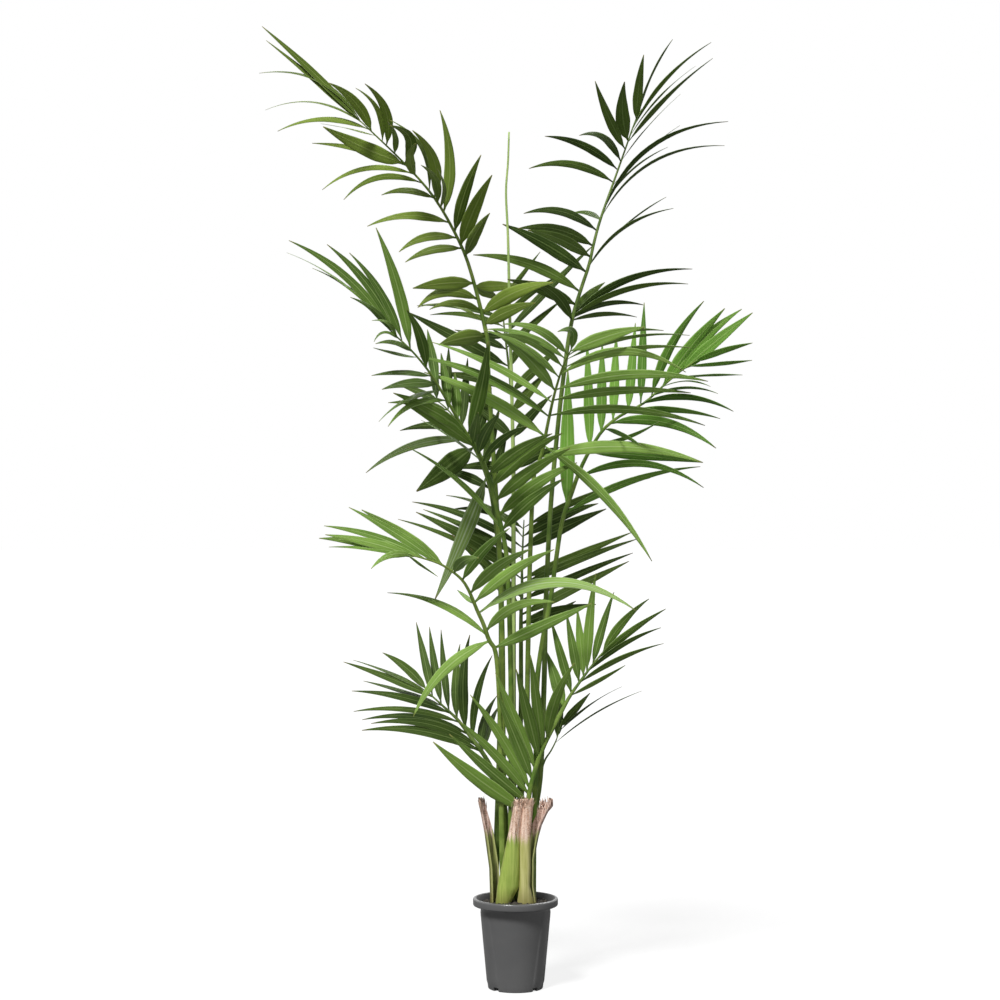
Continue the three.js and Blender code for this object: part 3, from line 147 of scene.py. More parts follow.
# Each frond: foot is where it stands in the soil (across, depth). stalk lists its line upward from the
# base, leafy is the stalk point where leaflets begin and girth is its share of the usual stalk sizes. A
# leaflet has: share of the leafy stretch, reach across, reach up, reach in depth, arch, twist in degrees,
# width.
FRONDS = {
    "frond_top_left": {
        "foot": [-24, 28], "leafy": 6, "girth": 1, "shade": "olive",
        "stalk": [[-23, 299, 26], [-25, 495, 24], [-26, 675, 20], [-31, 855, 16], [-41, 1015, 12],
                  [-51, 1175, 6], [-55, 1245, 2], [-57, 1301, 0], [-91, 1437, -14], [-121, 1509, -26],
                  [-165, 1583, -44], [-221, 1647, -66], [-287, 1711, -92], [-315, 1737, -104]],
        "left": [[0.1, -94, -16, -155, 0.03, 0, 34], [0.15, -132, 30, -130, 0.2, 50, 14],
                 [0.19, -103, 4, -160, 0.15, 0, 16], [0.23, -121, -14, -155, 0.24, 10, 24],
                 [0.29, -122, -10, -160, 0.04, 0, 28], [0.42, -113, -26, -170, 0.1, 10, 19],
                 [0.46, -116, -28, -170, 0.15, 10, 19], [0.52, -164, -5, -130, 0.16, 10, 20],
                 [0.62, -106, 7, -175, 0.12, 20, 15], [0.69, -156, -32, -125, 0.28, 30, 15],
                 [0.73, -184, -31, -70, 0.28, 30, 14], [0.77, -189, 47, -25, 0.1, 10, 16],
                 [0.78, -163, 77, -55, -0.06, 0, 32], [0.92, -110, 26, -100, 0.02, 60, 14],
                 [0.95, -184, -1, -25, 0.24, 30, 14], [0.98, -196, 28, -25, 0.3, 70, 12],
                 [0.99, -204, 100, -25, 0.33, 60, 14], [1, -194, 188, -25, 0.03, 35, 18]],
        "right": [[0.14, 102, 46, -150, 0.05, 0, 28], [0.18, 143, 64, -110, 0.12, 0, 32],
                  [0.27, 48, -23, 120, 0.05, 0, 22], [0.28, 87, 4, 90, -0.04, 0, 24],
                  [0.39, 49, 87, -180, 0.04, 0, 25], [0.43, 63, 142, -140, 0.05, 0, 30],
                  [0.48, 53, 158, -125, 0.06, 0, 25], [0.56, -7, 207, -25, 0.16, 10, 24],
                  [0.58, -6, 79, -190, 0.1, 70, 14], [0.6, -33, 79, -190, 0.14, 20, 17],
                  [0.62, -44, 137, -150, 0.22, 20, 26], [0.65, -80, 146, -120, 0.3, 60, 18],
                  [0.72, -1, 68, -190, 0.12, 0, 20], [0.78, -29, 79, -170, 0.3, 0, 24],
                  [0.83, -14, 66, -160, 0.1, 30, 14], [0.87, -43, 126, -95, 0.28, 15, 20],
                  [0.89, -53, 108, -105, 0.27, 40, 14], [0.94, -86, 100, -60, 0.2, 0, 22],
                  [0.98, -194, 170, -25, 0.02, 25, 15]],
    },
    "frond_top_right": {
        "foot": [28, 38], "leafy": 7, "girth": 1, "shade": "deep",
        "stalk": [[40, 353, 34], [50, 430, 30], [57, 600, 26], [61, 775, 28], [70, 955, 32],
                  [84, 1115, 38], [99, 1245, 44], [113, 1335, 52], [131, 1397, 58], [147, 1445, 62],
                  [157, 1490, 68], [171, 1540, 75], [197, 1613, 88], [219, 1675, 100],
                  [241, 1737, 112], [253, 1757, 120]],
        "left": [[0, -88, 80, -135, 0.18, 0, 24], [0.07, -142, 37, -120, 0.06, 0, 26],
                 [0.13, -214, 74, -25, 0.17, 0, 24], [0.22, -168, 98, -65, 0.07, 0, 29],
                 [0.29, -126, 57, -160, 0.07, 0, 26], [0.34, -151, 37, -150, 0.14, 0, 24],
                 [0.41, -147, 35, -160, 0.19, 15, 20], [0.46, -54, 16, 80, 0.15, 30, 16],
                 [0.64, -169, 31, -130, 0.2, 10, 18], [0.7, -146, 70, -140, 0.14, 10, 18],
                 [0.74, -83, 54, -185, 0.22, 10, 18], [0.8, -60, 137, -125, -0.05, 0, 21],
                 [0.84, -7, 120, -135, -0.1, 0, 31], [0.94, 15, 135, -70, 0.04, 0, 21]],
        "right": [[0, 130, 8, 125, 0.1, 45, 14], [0.01, 144, 28, 105, 0.17, 45, 16],
                  [0.02, 230, 66, 25, 0.18, 45, 16], [0.03, 237, 91, 25, 0.2, 35, 18],
                  [0.04, 61, 59, 100, 0.05, 30, 20], [0.24, 171, 122, 25, 0.22, 68, 16],
                  [0.26, 154, 135, 45, 0.1, 72, 14], [0.47, 247, 145, 25, 0.31, 66, 18],
                  [0.48, 253, 192, 25, 0.32, 62, 16], [0.56, 121, 105, 150, 0.1, 75, 14],
                  [0.62, 136, 124, 115, 0.06, 75, 12], [0.74, 119, 136, 105, 0.05, 80, 12],
                  [0.83, 171, 173, 25, 0.07, 68, 18], [0.86, 132, 144, 25, 0.1, 74, 16],
                  [0.9, 157, 174, 25, 0.14, 70, 16], [0.95, 71, 162, 25, 0.1, 66, 15]],
    },
    "frond_mid_left": {
        "foot": [-8, 10], "leafy": 6, "girth": 1, "shade": "mid",
        "stalk": [[-9, 299, 4], [-9, 380, -2], [-9, 575, -22], [-11, 695, -32], [-14, 795, -38],
                  [-18, 865, -43], [-27, 915, -50], [-39, 965, -60], [-51, 1015, -72],
                  [-73, 1069, -90], [-105, 1119, -112], [-135, 1171, -136], [-171, 1229, -162],
                  [-207, 1273, -186], [-239, 1303, -206], [-263, 1327, -222]],
        "left": [[0, -190, 170, 40, 0.12, 50, 15], [0.29, -123, 85, 155, 0.05, 62, 14],
                 [0.36, -152, 95, -130, 0.05, 0, 24], [0.43, -147, 82, -150, 0.05, 10, 28],
                 [0.59, -118, -50, -185, 0.17, 35, 16], [0.64, -124, -61, -175, 0.12, 60, 16],
                 [0.67, -110, -7, -190, 0.05, 20, 22], [0.71, -120, 3, -180, 0.05, 45, 15],
                 [0.81, -87, 20, -175, -0.02, 55, 13], [0.84, -73, 19, -170, 0.1, 40, 13],
                 [0.91, -53, -4, -155, 0.2, 60, 12], [0.93, -50, 32, -145, 0.15, 60, 13],
                 [0.96, -83, 69, -105, 0.13, 50, 18], [0.98, -152, 120, -25, 0.15, 66, 15],
                 [1, -196, 146, -25, 0.14, 78, 14]],
        "right": [[0, 124, 104, -90, 0.08, 0, 27], [0.06, 157, 109, -25, 0.1, 0, 28],
                  [0.12, 150, 107, -75, 0.08, 0, 27], [0.18, 142, 110, -100, 0.1, 0, 28],
                  [0.23, 128, 86, -145, 0.08, 0, 26], [0.29, 89, 75, -185, 0.1, 30, 20],
                  [0.33, 42, 81, -200, 0.06, 0, 25], [0.38, 10, 64, -215, 0, 0, 22],
                  [0.42, 40, 191, -110, -0.06, 0, 29], [0.5, -6, 94, 60, 0, 20, 22],
                  [0.57, -17, 104, 60, 0, 20, 20], [0.67, -19, 110, 60, 0, 20, 20],
                  [0.75, -40, 120, -170, 0.08, 0, 22], [0.85, -69, 247, -25, 0.07, 10, 24],
                  [0.9, -106, 179, -25, 0.13, 25, 20], [0.93, -140, 186, -25, 0.13, 25, 20],
                  [0.98, -199, 179, -25, 0.15, 20, 19]],
    },
    "frond_front_high": {
        "foot": [8, 10], "leafy": 5, "girth": 1, "shade": "fresh",
        "stalk": [[9, 355, 8], [21, 475, 0], [25, 675, -14], [29, 855, -30], [37, 1025, -54],
                  [51, 1061, -66], [67, 1139, -98], [79, 1191, -140], [93, 1237, -190],
                  [103, 1259, -236], [111, 1275, -280]],
        "left": [[0.14, -242, 130, -60, 0.1, 0, 26], [0.28, -259, 122, -80, 0.12, 20, 22],
                 [0.39, -241, 122, -60, 0.1, 35, 20], [0.49, -127, 128, -195, 0.06, 0, 26],
                 [0.61, -151, 98, -190, 0.1, 35, 20], [0.72, -130, 70, -205, 0.12, 30, 18],
                 [0.83, -159, 64, -140, 0.14, 30, 18], [0.9, -131, 64, -130, 0.2, 20, 20],
                 [0.99, -26, 39, -160, 0.28, 20, 18]],
        "right": [[0, 324, -9, -90, 0.155, 0, 27], [0.08, 217, -227, -110, 0.11, 20, 22],
                  [0.29, 311, -18, -25, 0.14, 25, 20], [0.41, 276, 16, -25, 0.09, 25, 20],
                  [0.5, 305, 20, -25, 0.14, 10, 22], [0.63, 252, 10, -65, 0.34, 15, 20],
                  [0.71, 258, 44, -25, 0.13, 40, 16], [0.83, 247, 50, -25, 0.15, 60, 14],
                  [0.9, 191, 50, -25, 0.2, 30, 14], [0.98, 149, 50, -55, 0.06, 10, 27]],
    },
    "frond_mid_right": {
        "foot": [35, 21], "leafy": 6, "girth": 1, "shade": "bright",
        "stalk": [[36, 299, 19], [41, 455, 8], [43, 603, 2], [53, 687, 0], [69, 771, -4],
                  [81, 855, -8], [93, 931, -14], [111, 985, -20], [129, 1035, -28], [149, 1075, -36],
                  [175, 1115, -46], [209, 1143, -56], [257, 1169, -70], [295, 1203, -80],
                  [331, 1233, -90], [369, 1259, -100]],
        "left": [[0.07, 2, 276, 40, 0, 0, 32], [0.35, -6, 221, 30, 0, 0, 22],
                 [0.44, 2, 185, 60, 0, 0, 22], [0.52, 7, 179, 60, 0, 0, 21],
                 [0.6, 15, 179, 60, 0, 0, 20], [0.67, 7, 205, 30, 0, 0, 19],
                 [0.73, 105, 190, -40, 0.13, 10, 21], [0.79, 126, 160, -35, 0.05, 0, 28],
                 [0.84, 143, 143, -25, 0.11, 0, 24], [0.9, 144, 119, -25, 0.02, 0, 25]],
        "right": [[0.04, 271, 98, 25, 0.12, 20, 18], [0.21, 253, -16, -60, 0.3, 30, 18],
                  [0.34, 228, -19, -25, 0.02, 20, 20], [0.37, 135, 53, -150, -0.08, 55, 15],
                  [0.47, 70, -31, -220, 0.03, 50, 16], [0.5, 229, -35, -110, 0.22, 10, 22],
                  [0.6, 155, -25, -150, 0.1, 30, 18], [0.66, 189, -12, -125, 0.2, 40, 18],
                  [0.72, 123, -4, -185, 0.14, 60, 16], [0.79, 97, 2, -180, 0.12, 72, 14],
                  [0.85, 141, 8, -120, 0.03, 74, 14], [0.94, 128, 14, -95, -0.02, 55, 15],
                  [0.97, 118, 41, -80, 0.04, 50, 17]],
    },
    "frond_low_left": {
        "foot": [-24, 12], "leafy": 4, "girth": 1, "shade": "fresh",
        "stalk": [[-27, 300, 3], [-29, 415, -10], [-31, 535, -28], [-35, 623, -42], [-41, 675, -52],
                  [-53, 695, -58], [-65, 729, -68], [-77, 755, -78], [-91, 789, -90],
                  [-105, 813, -100], [-125, 831, -112], [-151, 847, -126], [-187, 859, -144],
                  [-221, 867, -160]],
        "left": [[0.07, -154, -150, -40, 0.2, 20, 24], [0.1, -202, 91, -25, 0.19, 40, 20],
                 [0.35, -35, 29, 90, 0, 50, 12], [0.88, -206, 42, -25, 0.07, 0, 24],
                 [0.95, -83, -25, -110, 0.2, 30, 16], [0.97, -162, 18, -25, 0.06, 50, 15],
                 [1, 64, -44, -100, 0, 60, 13]],
        "right": [[0.01, 195, 90, -60, 0, 0, 26], [0.14, 138, 61, -105, 0.24, 20, 22],
                  [0.28, 316, 6, -60, 0.37, 180, 24], [0.36, 160, 108, -55, 0.1, 0, 24],
                  [0.43, 122, 92, -135, 0.1, 0, 25], [0.54, 95, 107, -145, 0.08, 0, 21],
                  [0.62, 49, 33, -190, 0.1, 0, 22], [0.7, -167, 117, -25, 0.05, 0, 25],
                  [0.76, -178, 112, -25, 0.05, 20, 20], [0.85, -204, 68, -25, 0.1, 30, 18],
                  [0.96, -172, 44, -25, 0.05, 10, 20]],
    },
    "frond_base_left": {
        "foot": [-18, 46], "leafy": 4, "girth": 1, "shade": "deep",
        "stalk": [[-19, 305, 48], [-22, 365, 55], [-35, 410, 59], [-51, 445, 62], [-67, 471, 66],
                  [-91, 503, 76], [-115, 535, 87], [-145, 563, 100], [-171, 587, 114],
                  [-183, 601, 122]],
        "left": [[0, -240, 46, -25, 0.15, 10, 22], [0.08, -213, 46, -25, 0.2, 20, 19],
                 [0.24, -214, 32, -25, 0.18, 20, 17], [0.41, -213, 23, -25, 0.14, 40, 16],
                 [0.55, -200, 48, -35, 0.09, 25, 19], [0.68, -160, 52, 115, 0.03, 55, 15],
                 [0.83, -181, 73, 25, 0.03, 40, 17], [0.92, -151, 67, 25, 0.05, 55, 15],
                 [0.95, -89, 77, 80, 0.1, 0, 20]],
        "right": [[0, 34, 92, 140, 0.05, 30, 18], [0.02, 32, 109, 130, 0.12, 20, 18],
                  [0.17, 39, 169, 80, 0.13, 20, 18], [0.3, 8, 194, 55, 0.1, 0, 24],
                  [0.46, 6, 152, 145, 0.06, 0, 19], [0.59, -16, 164, 125, -0.02, 20, 16],
                  [0.71, -24, 158, 120, -0.02, 10, 18], [0.85, -33, 149, 75, 0, 0, 19]],
    },
    "frond_base_right": {
        "foot": [24, 10], "leafy": 1, "girth": 1, "shade": "mid",
        "stalk": [[22, 300, 4], [23, 350, -2], [30, 400, -7], [43, 447, -12], [57, 484, -15],
                  [73, 516, -16], [91, 550, -12], [109, 583, -6], [133, 617, 2], [165, 659, 16],
                  [189, 685, 28]],
        "left": [[0, -188, 140, -60, -0.05, 0, 32], [0.05, -158, 137, -50, -0.02, 0, 25],
                 [0.09, -140, 149, -60, 0.05, 10, 22], [0.12, -120, 190, -50, 0.06, 0, 23],
                 [0.17, -71, 175, -50, 0, 0, 25], [0.23, -80, 196, -25, 0, 0, 24],
                 [0.29, -46, 182, -85, 0, 0, 25], [0.34, -24, 190, -85, 0, 0, 23],
                 [0.4, 55, 153, -135, 0.1, 0, 24], [0.59, -38, 103, 50, 0, 0, 26],
                 [0.67, -42, 150, 40, 0, 10, 20], [0.74, -26, 142, 40, 0, 0, 20],
                 [0.78, -13, 141, 40, 0, 0, 20], [0.81, 18, 200, 30, 0.04, 0, 21],
                 [0.86, 43, 148, 30, 0.03, 15, 18], [0.94, 94, 111, 20, 0.13, 15, 20]],
        "right": [[0.66, 109, 61, 40, -0.03, 55, 15], [0.74, 169, 81, 30, 0.09, 45, 17],
                  [0.81, 148, 90, 20, 0.12, 50, 16], [0.9, 137, 101, 10, 0.06, 30, 18]],
    },
    "frond_base_back": {
        "foot": [13, 55], "leafy": 6, "girth": 0.55, "shade": "deep",
        "stalk": [[20, 300, 57], [37, 350, 52], [46, 400, 50], [51, 430, 51], [59, 455, 54],
                  [70, 472, 58], [78, 487, 62], [84, 502, 68], [89, 520, 76], [93, 535, 84]],
        "left": [[0.25, 10, 92, 70, 0, 10, 20]],
        "right": [[0.03, 174, 105, 20, 0.09, 66, 15], [0.5, 126, 92, 30, 0.1, 66, 15],
                  [0.7, 60, 70, 60, 0, 20, 18]],
    },
    "frond_back_mid": {
        "foot": [8, 28], "leafy": 3, "girth": 1, "shade": "deep",
        "stalk": [[8, 305, 34], [9, 455, 50], [11, 575, 72], [11, 655, 90], [11, 695, 100],
                  [11, 745, 116], [13, 795, 136], [13, 845, 160], [15, 895, 190], [17, 935, 222]],
        "left": [[0.32, -102, 128, 40, 0.02, 10, 24], [0.42, -140, 126, 40, 0.02, 20, 24],
                 [0.55, -248, 120, 40, 0.1, 20, 15], [0.61, -212, 118, 35, 0.04, 0, 26],
                 [0.7, -198, 100, 90, 0.05, 30, 18], [0.78, -221, 92, 25, 0.13, 20, 18],
                 [0.86, -154, 86, 90, 0.18, 40, 18], [0.93, -143, 40, 90, 0.18, 30, 18]],
        "right": [[0.13, 110, 80, 60, 0.04, 0, 22], [0.24, 150, 40, 60, 0.06, 0, 26],
                  [0.3, 216, 110, 25, 0, 0, 22], [0.4, 223, 98, 30, 0.02, 10, 18],
                  [0.51, 232, 94, 25, 0.03, 10, 17], [0.55, 220, 96, 60, 0, 0, 20],
                  [0.78, 167, 78, 130, 0.02, 0, 29], [0.87, 150, 68, 105, 0.06, 0, 26],
                  [0.94, 253, 100, 60, 0.08, 20, 16]],
    },
    "frond_back_high": {
        "foot": [0, 46], "leafy": 4, "girth": 1, "shade": "deep",
        "stalk": [[-3, 315, 46], [-4, 495, 46], [-4, 695, 50], [-4, 895, 56], [-4, 1035, 64],
                  [-6, 1135, 76], [-9, 1195, 88], [-15, 1255, 104], [-21, 1305, 122], [-25, 1345, 142],
                  [-29, 1375, 164]],
        "left": [[0, -123, 0, 60, 0.1, 0, 20], [0.17, -86, 72, 60, 0.05, 0, 22],
                 [0.33, -132, 28, 60, 0.06, 0, 22], [0.45, -150, 32, 60, 0.08, 0, 20],
                 [0.58, -203, 110, 50, 0, 0, 26], [0.68, -104, 40, 60, 0.06, 0, 18],
                 [0.75, -107, -12, 60, 0.15, 10, 16], [0.82, -148, 26, 60, 0.14, 20, 13],
                 [0.87, -173, 28, 60, 0.12, 20, 13]],
        "right": [[0, 93, 44, 60, 0.08, 0, 22], [0.17, 78, 88, 60, 0.05, 0, 22],
                  [0.32, 68, 80, 60, 0, 0, 22], [0.43, 98, 94, 60, 0, 0, 20],
                  [0.57, 50, 100, 60, 0, 10, 18], [0.69, 111, 96, 60, 0.02, 0, 16],
                  [0.77, 178, 182, 30, 0.02, 0, 17], [0.89, 110, 82, 40, 0.04, 20, 13],
                  [0.99, 78, 102, 60, 0, 30, 12]],
    },
    "frond_back_left": {
        "foot": [-40, 30], "leafy": 4, "girth": 1, "shade": "deep",
        "stalk": [[-37, 311, 36], [-32, 495, 44], [-29, 695, 52], [-33, 855, 60], [-47, 975, 66],
                  [-63, 1035, 72], [-83, 1079, 78], [-107, 1119, 86], [-135, 1155, 96],
                  [-163, 1179, 106]],
        "left": [[0.09, -100, 40, 40, 0.1, 0, 20], [0.19, -103, -244, -60, -0.03, 180, 33],
                 [0.46, -114, -88, -60, 0, 0, 46], [0.53, -207, -65, -90, 0.2, 180, 19],
                 [0.65, -124, -4, 40, 0.12, 20, 18], [0.84, -120, 16, 40, 0.1, 20, 18],
                 [0.94, -83, 37, 40, 0.06, 20, 17]],
        "right": [[0.09, 36, 116, 60, 0, 10, 22], [0.26, 32, 124, 60, 0, 10, 22],
                  [0.46, 36, 120, 60, 0, 0, 22], [0.65, 24, 124, 60, 0, 10, 20],
                  [0.84, 8, 120, 60, 0, 10, 20], [0.97, -13, 110, 60, 0, 20, 18]],
    },
}
SPEAR = {
    "foot": [-8, 28], "base": 5, "neck": 3.5, "end": 1.8,
    "line": [[-6, 315, 26], [-4, 695, 20], [-4, 975, 10], [-7, 1169, 0], [-12, 1365, -6], [-15, 1500, -8],
             [-19, 1590, -8], [-15, 1650, -8], [-13, 1711, -8]],
}

# ---------------------------------------------------------------- meshes
def finished(name, bm, materials, smooth=True):
    """A new object at the origin from this bmesh."""
    mesh = bpy.data.meshes.new(name)
    bm.to_mesh(mesh)
    bm.free()
    for material in materials:
        mesh.materials.append(material)
    mesh.polygons.foreach_set("use_smooth", [smooth] * len(mesh.polygons))
    piece = bpy.data.objects.new(name, mesh)
    bpy.context.scene.collection.objects.link(piece)
    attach(piece, "root")
    return piece


def layers(bm, *names):
    """The mesh's own values that the finishes read, made where they're not there yet."""
    return [bm.verts.layers.float.get(name) or bm.verts.layers.float.new(name) for name in names]


def draws(seed):
    """The same small random draw every run."""
    state = seed

    def draw():
        nonlocal state
        state = (state + 0x6D2B79F5) & 0xFFFFFFFF
        t = state
        t = ((t ^ (t >> 15)) * (t | 1)) & 0xFFFFFFFF
        t ^= (t + (((t ^ (t >> 7)) * (t | 61)) & 0xFFFFFFFF)) & 0xFFFFFFFF
        return ((t ^ (t >> 14)) & 0xFFFFFFFF) / 4294967296

    return draw


def between(rows, share):
    """The values of a table's rows at a share, blended between its neighbours."""
    if share <= rows[0][0]:
        return rows[0][1:]
    for a, b in zip(rows, rows[1:]):
        if share <= b[0]:
            weight = (share - a[0]) / (b[0] - a[0])
            return [p + (q - p) * weight for p, q in zip(a[1:], b[1:])]
    return rows[-1][1:]


def ramp(value, low, high):
    """A soft rise from 0 at low to 1 at high."""
    share = min(max((value - low) / (high - low), 0), 1)
    return share * share * (3 - 2 * share)


# ---------------------------------------------------------------- lines
def place(across, height, depth):
    """The point at this depth that is seen from the front at these sizes."""
    scale = (VIEW["distance"] + depth) / VIEW["distance"]
    return Vector((
        VIEW["across"] + (across - VIEW["across"]) * scale,
        depth,
        VIEW["height"] + (height - VIEW["height"]) * scale,
    ))


class Line:
    """A smooth curve through points, read by share of its length."""

    STEPS = 200

    def __init__(self, points):
        self.points = points
        self.reached = [0.0]
        samples = [self.at(i / self.STEPS) for i in range(self.STEPS + 1)]
        for a, b in zip(samples, samples[1:]):
            self.reached.append(self.reached[-1] + (b - a).length)
        self.length = self.reached[-1]

    def at(self, t):
        last = len(self.points) - 1
        i = min(int(last * t), last - 1)
        w = last * t - i
        p1, p2 = self.points[i], self.points[i + 1]
        p0 = self.points[i - 1] if i > 0 else 2 * p1 - p2
        p3 = self.points[i + 2] if i + 2 <= last else 2 * p2 - p1
        v0, v1 = (p2 - p0) * 0.5, (p3 - p1) * 0.5
        return (2 * p1 - 2 * p2 + v0 + v1) * w**3 + (3 * p2 - 3 * p1 - 2 * v0 - v1) * w**2 + v0 * w + p1

    def step(self, share):
        target = share * self.length
        i = 0
        while i < self.STEPS - 1 and self.reached[i + 1] <= target:
            i += 1
        gap = self.reached[i + 1] - self.reached[i]
        return (i + (target - self.reached[i]) / gap) / self.STEPS

    def point(self, share):
        return self.at(self.step(share))

    def tangent(self, share):
        t = self.step(share)
        return (self.at(min(t + 1e-4, 1)) - self.at(max(t - 1e-4, 0))).normalized()


def stalk_line(foot, points):
    buried = [Vector((foot[0], foot[1], STEM[level])) for level in ("bottom", "collar", "straight")]
    return Line(buried + [place(*point) for point in points])


def stalk_radius(share, sizes):
    if share < NECK_AT:
        return sizes["base"] + (sizes["neck"] - sizes["base"]) * share / NECK_AT
    return sizes["neck"] + (sizes["end"] - sizes["neck"]) * (share - NECK_AT) / (1 - NECK_AT)


def stalk_sizes(girth):
    return {key: STALK[key] * girth for key in ("base", "neck", "end")}


class Stem:
    """A frond's stalk: its line, where its leaflets begin and the rings that they are rooted between."""

    def __init__(self, frond):
        self.line = stalk_line(frond["foot"], frond["stalk"])
        self.sizes = stalk_sizes(frond["girth"])
        stretches = len(self.line.points) - 1
        buried = len(self.line.points) - len(frond["stalk"])
        index = math.floor((frond["leafy"] + buried) / stretches * Line.STEPS + 0.5)
        self.leafy_from = self.line.reached[index] / self.line.length
        straight = (STEM["collar"] - STEM["bottom"]) / self.line.length
        bare, leafy = STALK["bare_rings"], STALK["leafy_rings"]
        self.shares = [0.0]
        self.shares += [straight + (self.leafy_from - straight) * i / bare for i in range(bare)]
        self.shares += [self.leafy_from + (1 - self.leafy_from) * i / leafy for i in range(leafy + 1)]

    def root(self, share):
        after = max(next((i for i, ring in enumerate(self.shares) if ring >= share), len(self.shares) - 1), 1)
        a, b = self.shares[after - 1], self.shares[after]
        return self.line.point(a).lerp(self.line.point(b), (share - a) / (b - a))


# ---------------------------------------------------------------- swept stalks
def sweep(bm, stations, sides):
    """A closed rod through stations: centre, side, front, and a section(angle) radius in each."""
    along_layer, across_layer, tone_layer = layers(bm, "along", "across", "tone")
    ring = bmesh.ops.create_circle(bm, cap_ends=True, segments=sides, radius=1.0)["verts"]
    angles = [(vert, math.atan2(vert.co.y, vert.co.x)) for vert in ring]
    edges = list({edge for vert in ring for edge in vert.link_edges})
    for number, station in enumerate(stations):
        if number:
            known = {vert.co[:]: angle for vert, angle in angles}
            grown = bmesh.ops.extrude_edge_only(bm, edges=edges)["geom"]
            edges = [item for item in grown if isinstance(item, bmesh.types.BMEdge)]
            angles = [(item, known[item.co[:]]) for item in grown if isinstance(item, bmesh.types.BMVert)]
        for vert, angle in angles:
            radius = station["section"](angle)
            vert.co = station["centre"] + station["side"] * (radius * math.cos(angle)) \
                + station["front"] * (radius * math.sin(angle))
            vert[along_layer] = station["along"]
            vert[across_layer] = math.sin(angle)
            vert[tone_layer] = station["tone"]
    bmesh.ops.edgeloop_fill(bm, edges=edges)
    bmesh.ops.recalc_face_normals(bm, faces=bm.faces)


def stalk_stations(line, sizes, flare, tone, groove=GROOVE, count=STALK_STATIONS):
    """A stalk's stations: round behind, with a channel in front, and broader at the foot by the flare."""
    stations = []
    for i in range(count + 1):
        share = i / count
        along = line.tangent(share)
        side = along.cross(Vector((0, 1, 0))).normalized()
        front = side.cross(along)
        centre = line.point(share)
        radius = stalk_radius(share, sizes)
        widened = 1 + flare * (1 - ramp(centre.z, *FLARE_ENDS))

        def section(angle, radius=radius, widened=widened):
            channel = 1 - groove * math.exp(-((abs(angle + math.pi / 2) / GROOVE_WIDTH) ** 2))
            return radius * MM * channel * (1 + (widened - 1) * abs(math.cos(angle)))

        stations.append({
            "centre": centre * MM, "side": side, "front": front, "section": section,
            "along": share, "tone": tone,
        })
    return stations


# ---------------------------------------------------------------- leaflets
def leaflets_of(frond, stem, seed):
    """Where each leaflet of a frond is rooted and ends, and its own sizes."""
    draw = draws(seed)
    found = []
    for share, across, up, back, arch, turned, width in frond["left"] + frond["right"]:
        at = stem.leafy_from + (1 - stem.leafy_from) * share * LEAFY_END
        root = stem.root(at)
        scale = VIEW["distance"] / (VIEW["distance"] + root.y)
        seen_across = VIEW["across"] + (root.x - VIEW["across"]) * scale
        seen_height = VIEW["height"] + (root.z - VIEW["height"]) * scale
        found.append({
            "root": root, "tip": place(seen_across + across, seen_height + up, root.y + back),
            "along": stem.line.tangent(at), "width": width, "arch": arch,
            "neck": NECK * stalk_radius(at, stem.sizes),
            "twist": math.radians(turned + (draw() - 0.5) * UNEVEN_TWIST),
        })
    return found


def curve_of(leaflet, bend):
    """Root, middle and tip of a leaflet's curve, which bows in the picture plane to its upper side."""
    out, along, kept = bend
    root = leaflet["root"]
    reach = (leaflet["tip"] - root) * kept
    length = reach.length
    tip = root + reach + TOWARDS_VIEWER * (out * length) + leaflet["along"] * (along * length)
    sideways = TOWARDS_VIEWER.cross(reach).normalized()
    upper = -sideways if sideways.z < 0 else sideways
    middle = root.lerp(tip, 0.5) + upper * (leaflet["arch"] * length)
    middle += TOWARDS_VIEWER * (out * BEND_EARLY * length)
    return root, middle, tip


def grown_curve(leaflet, solid_points):
    """The leaflet's curve, bent as its solid is: the one whose tip lies where the solid ends."""
    for bend in BENDS:
        curve = curve_of(leaflet, bend)
        _, _, distance = solid_points.find(curve[2])
        if distance < TIP_REACH:
            return curve
    return None


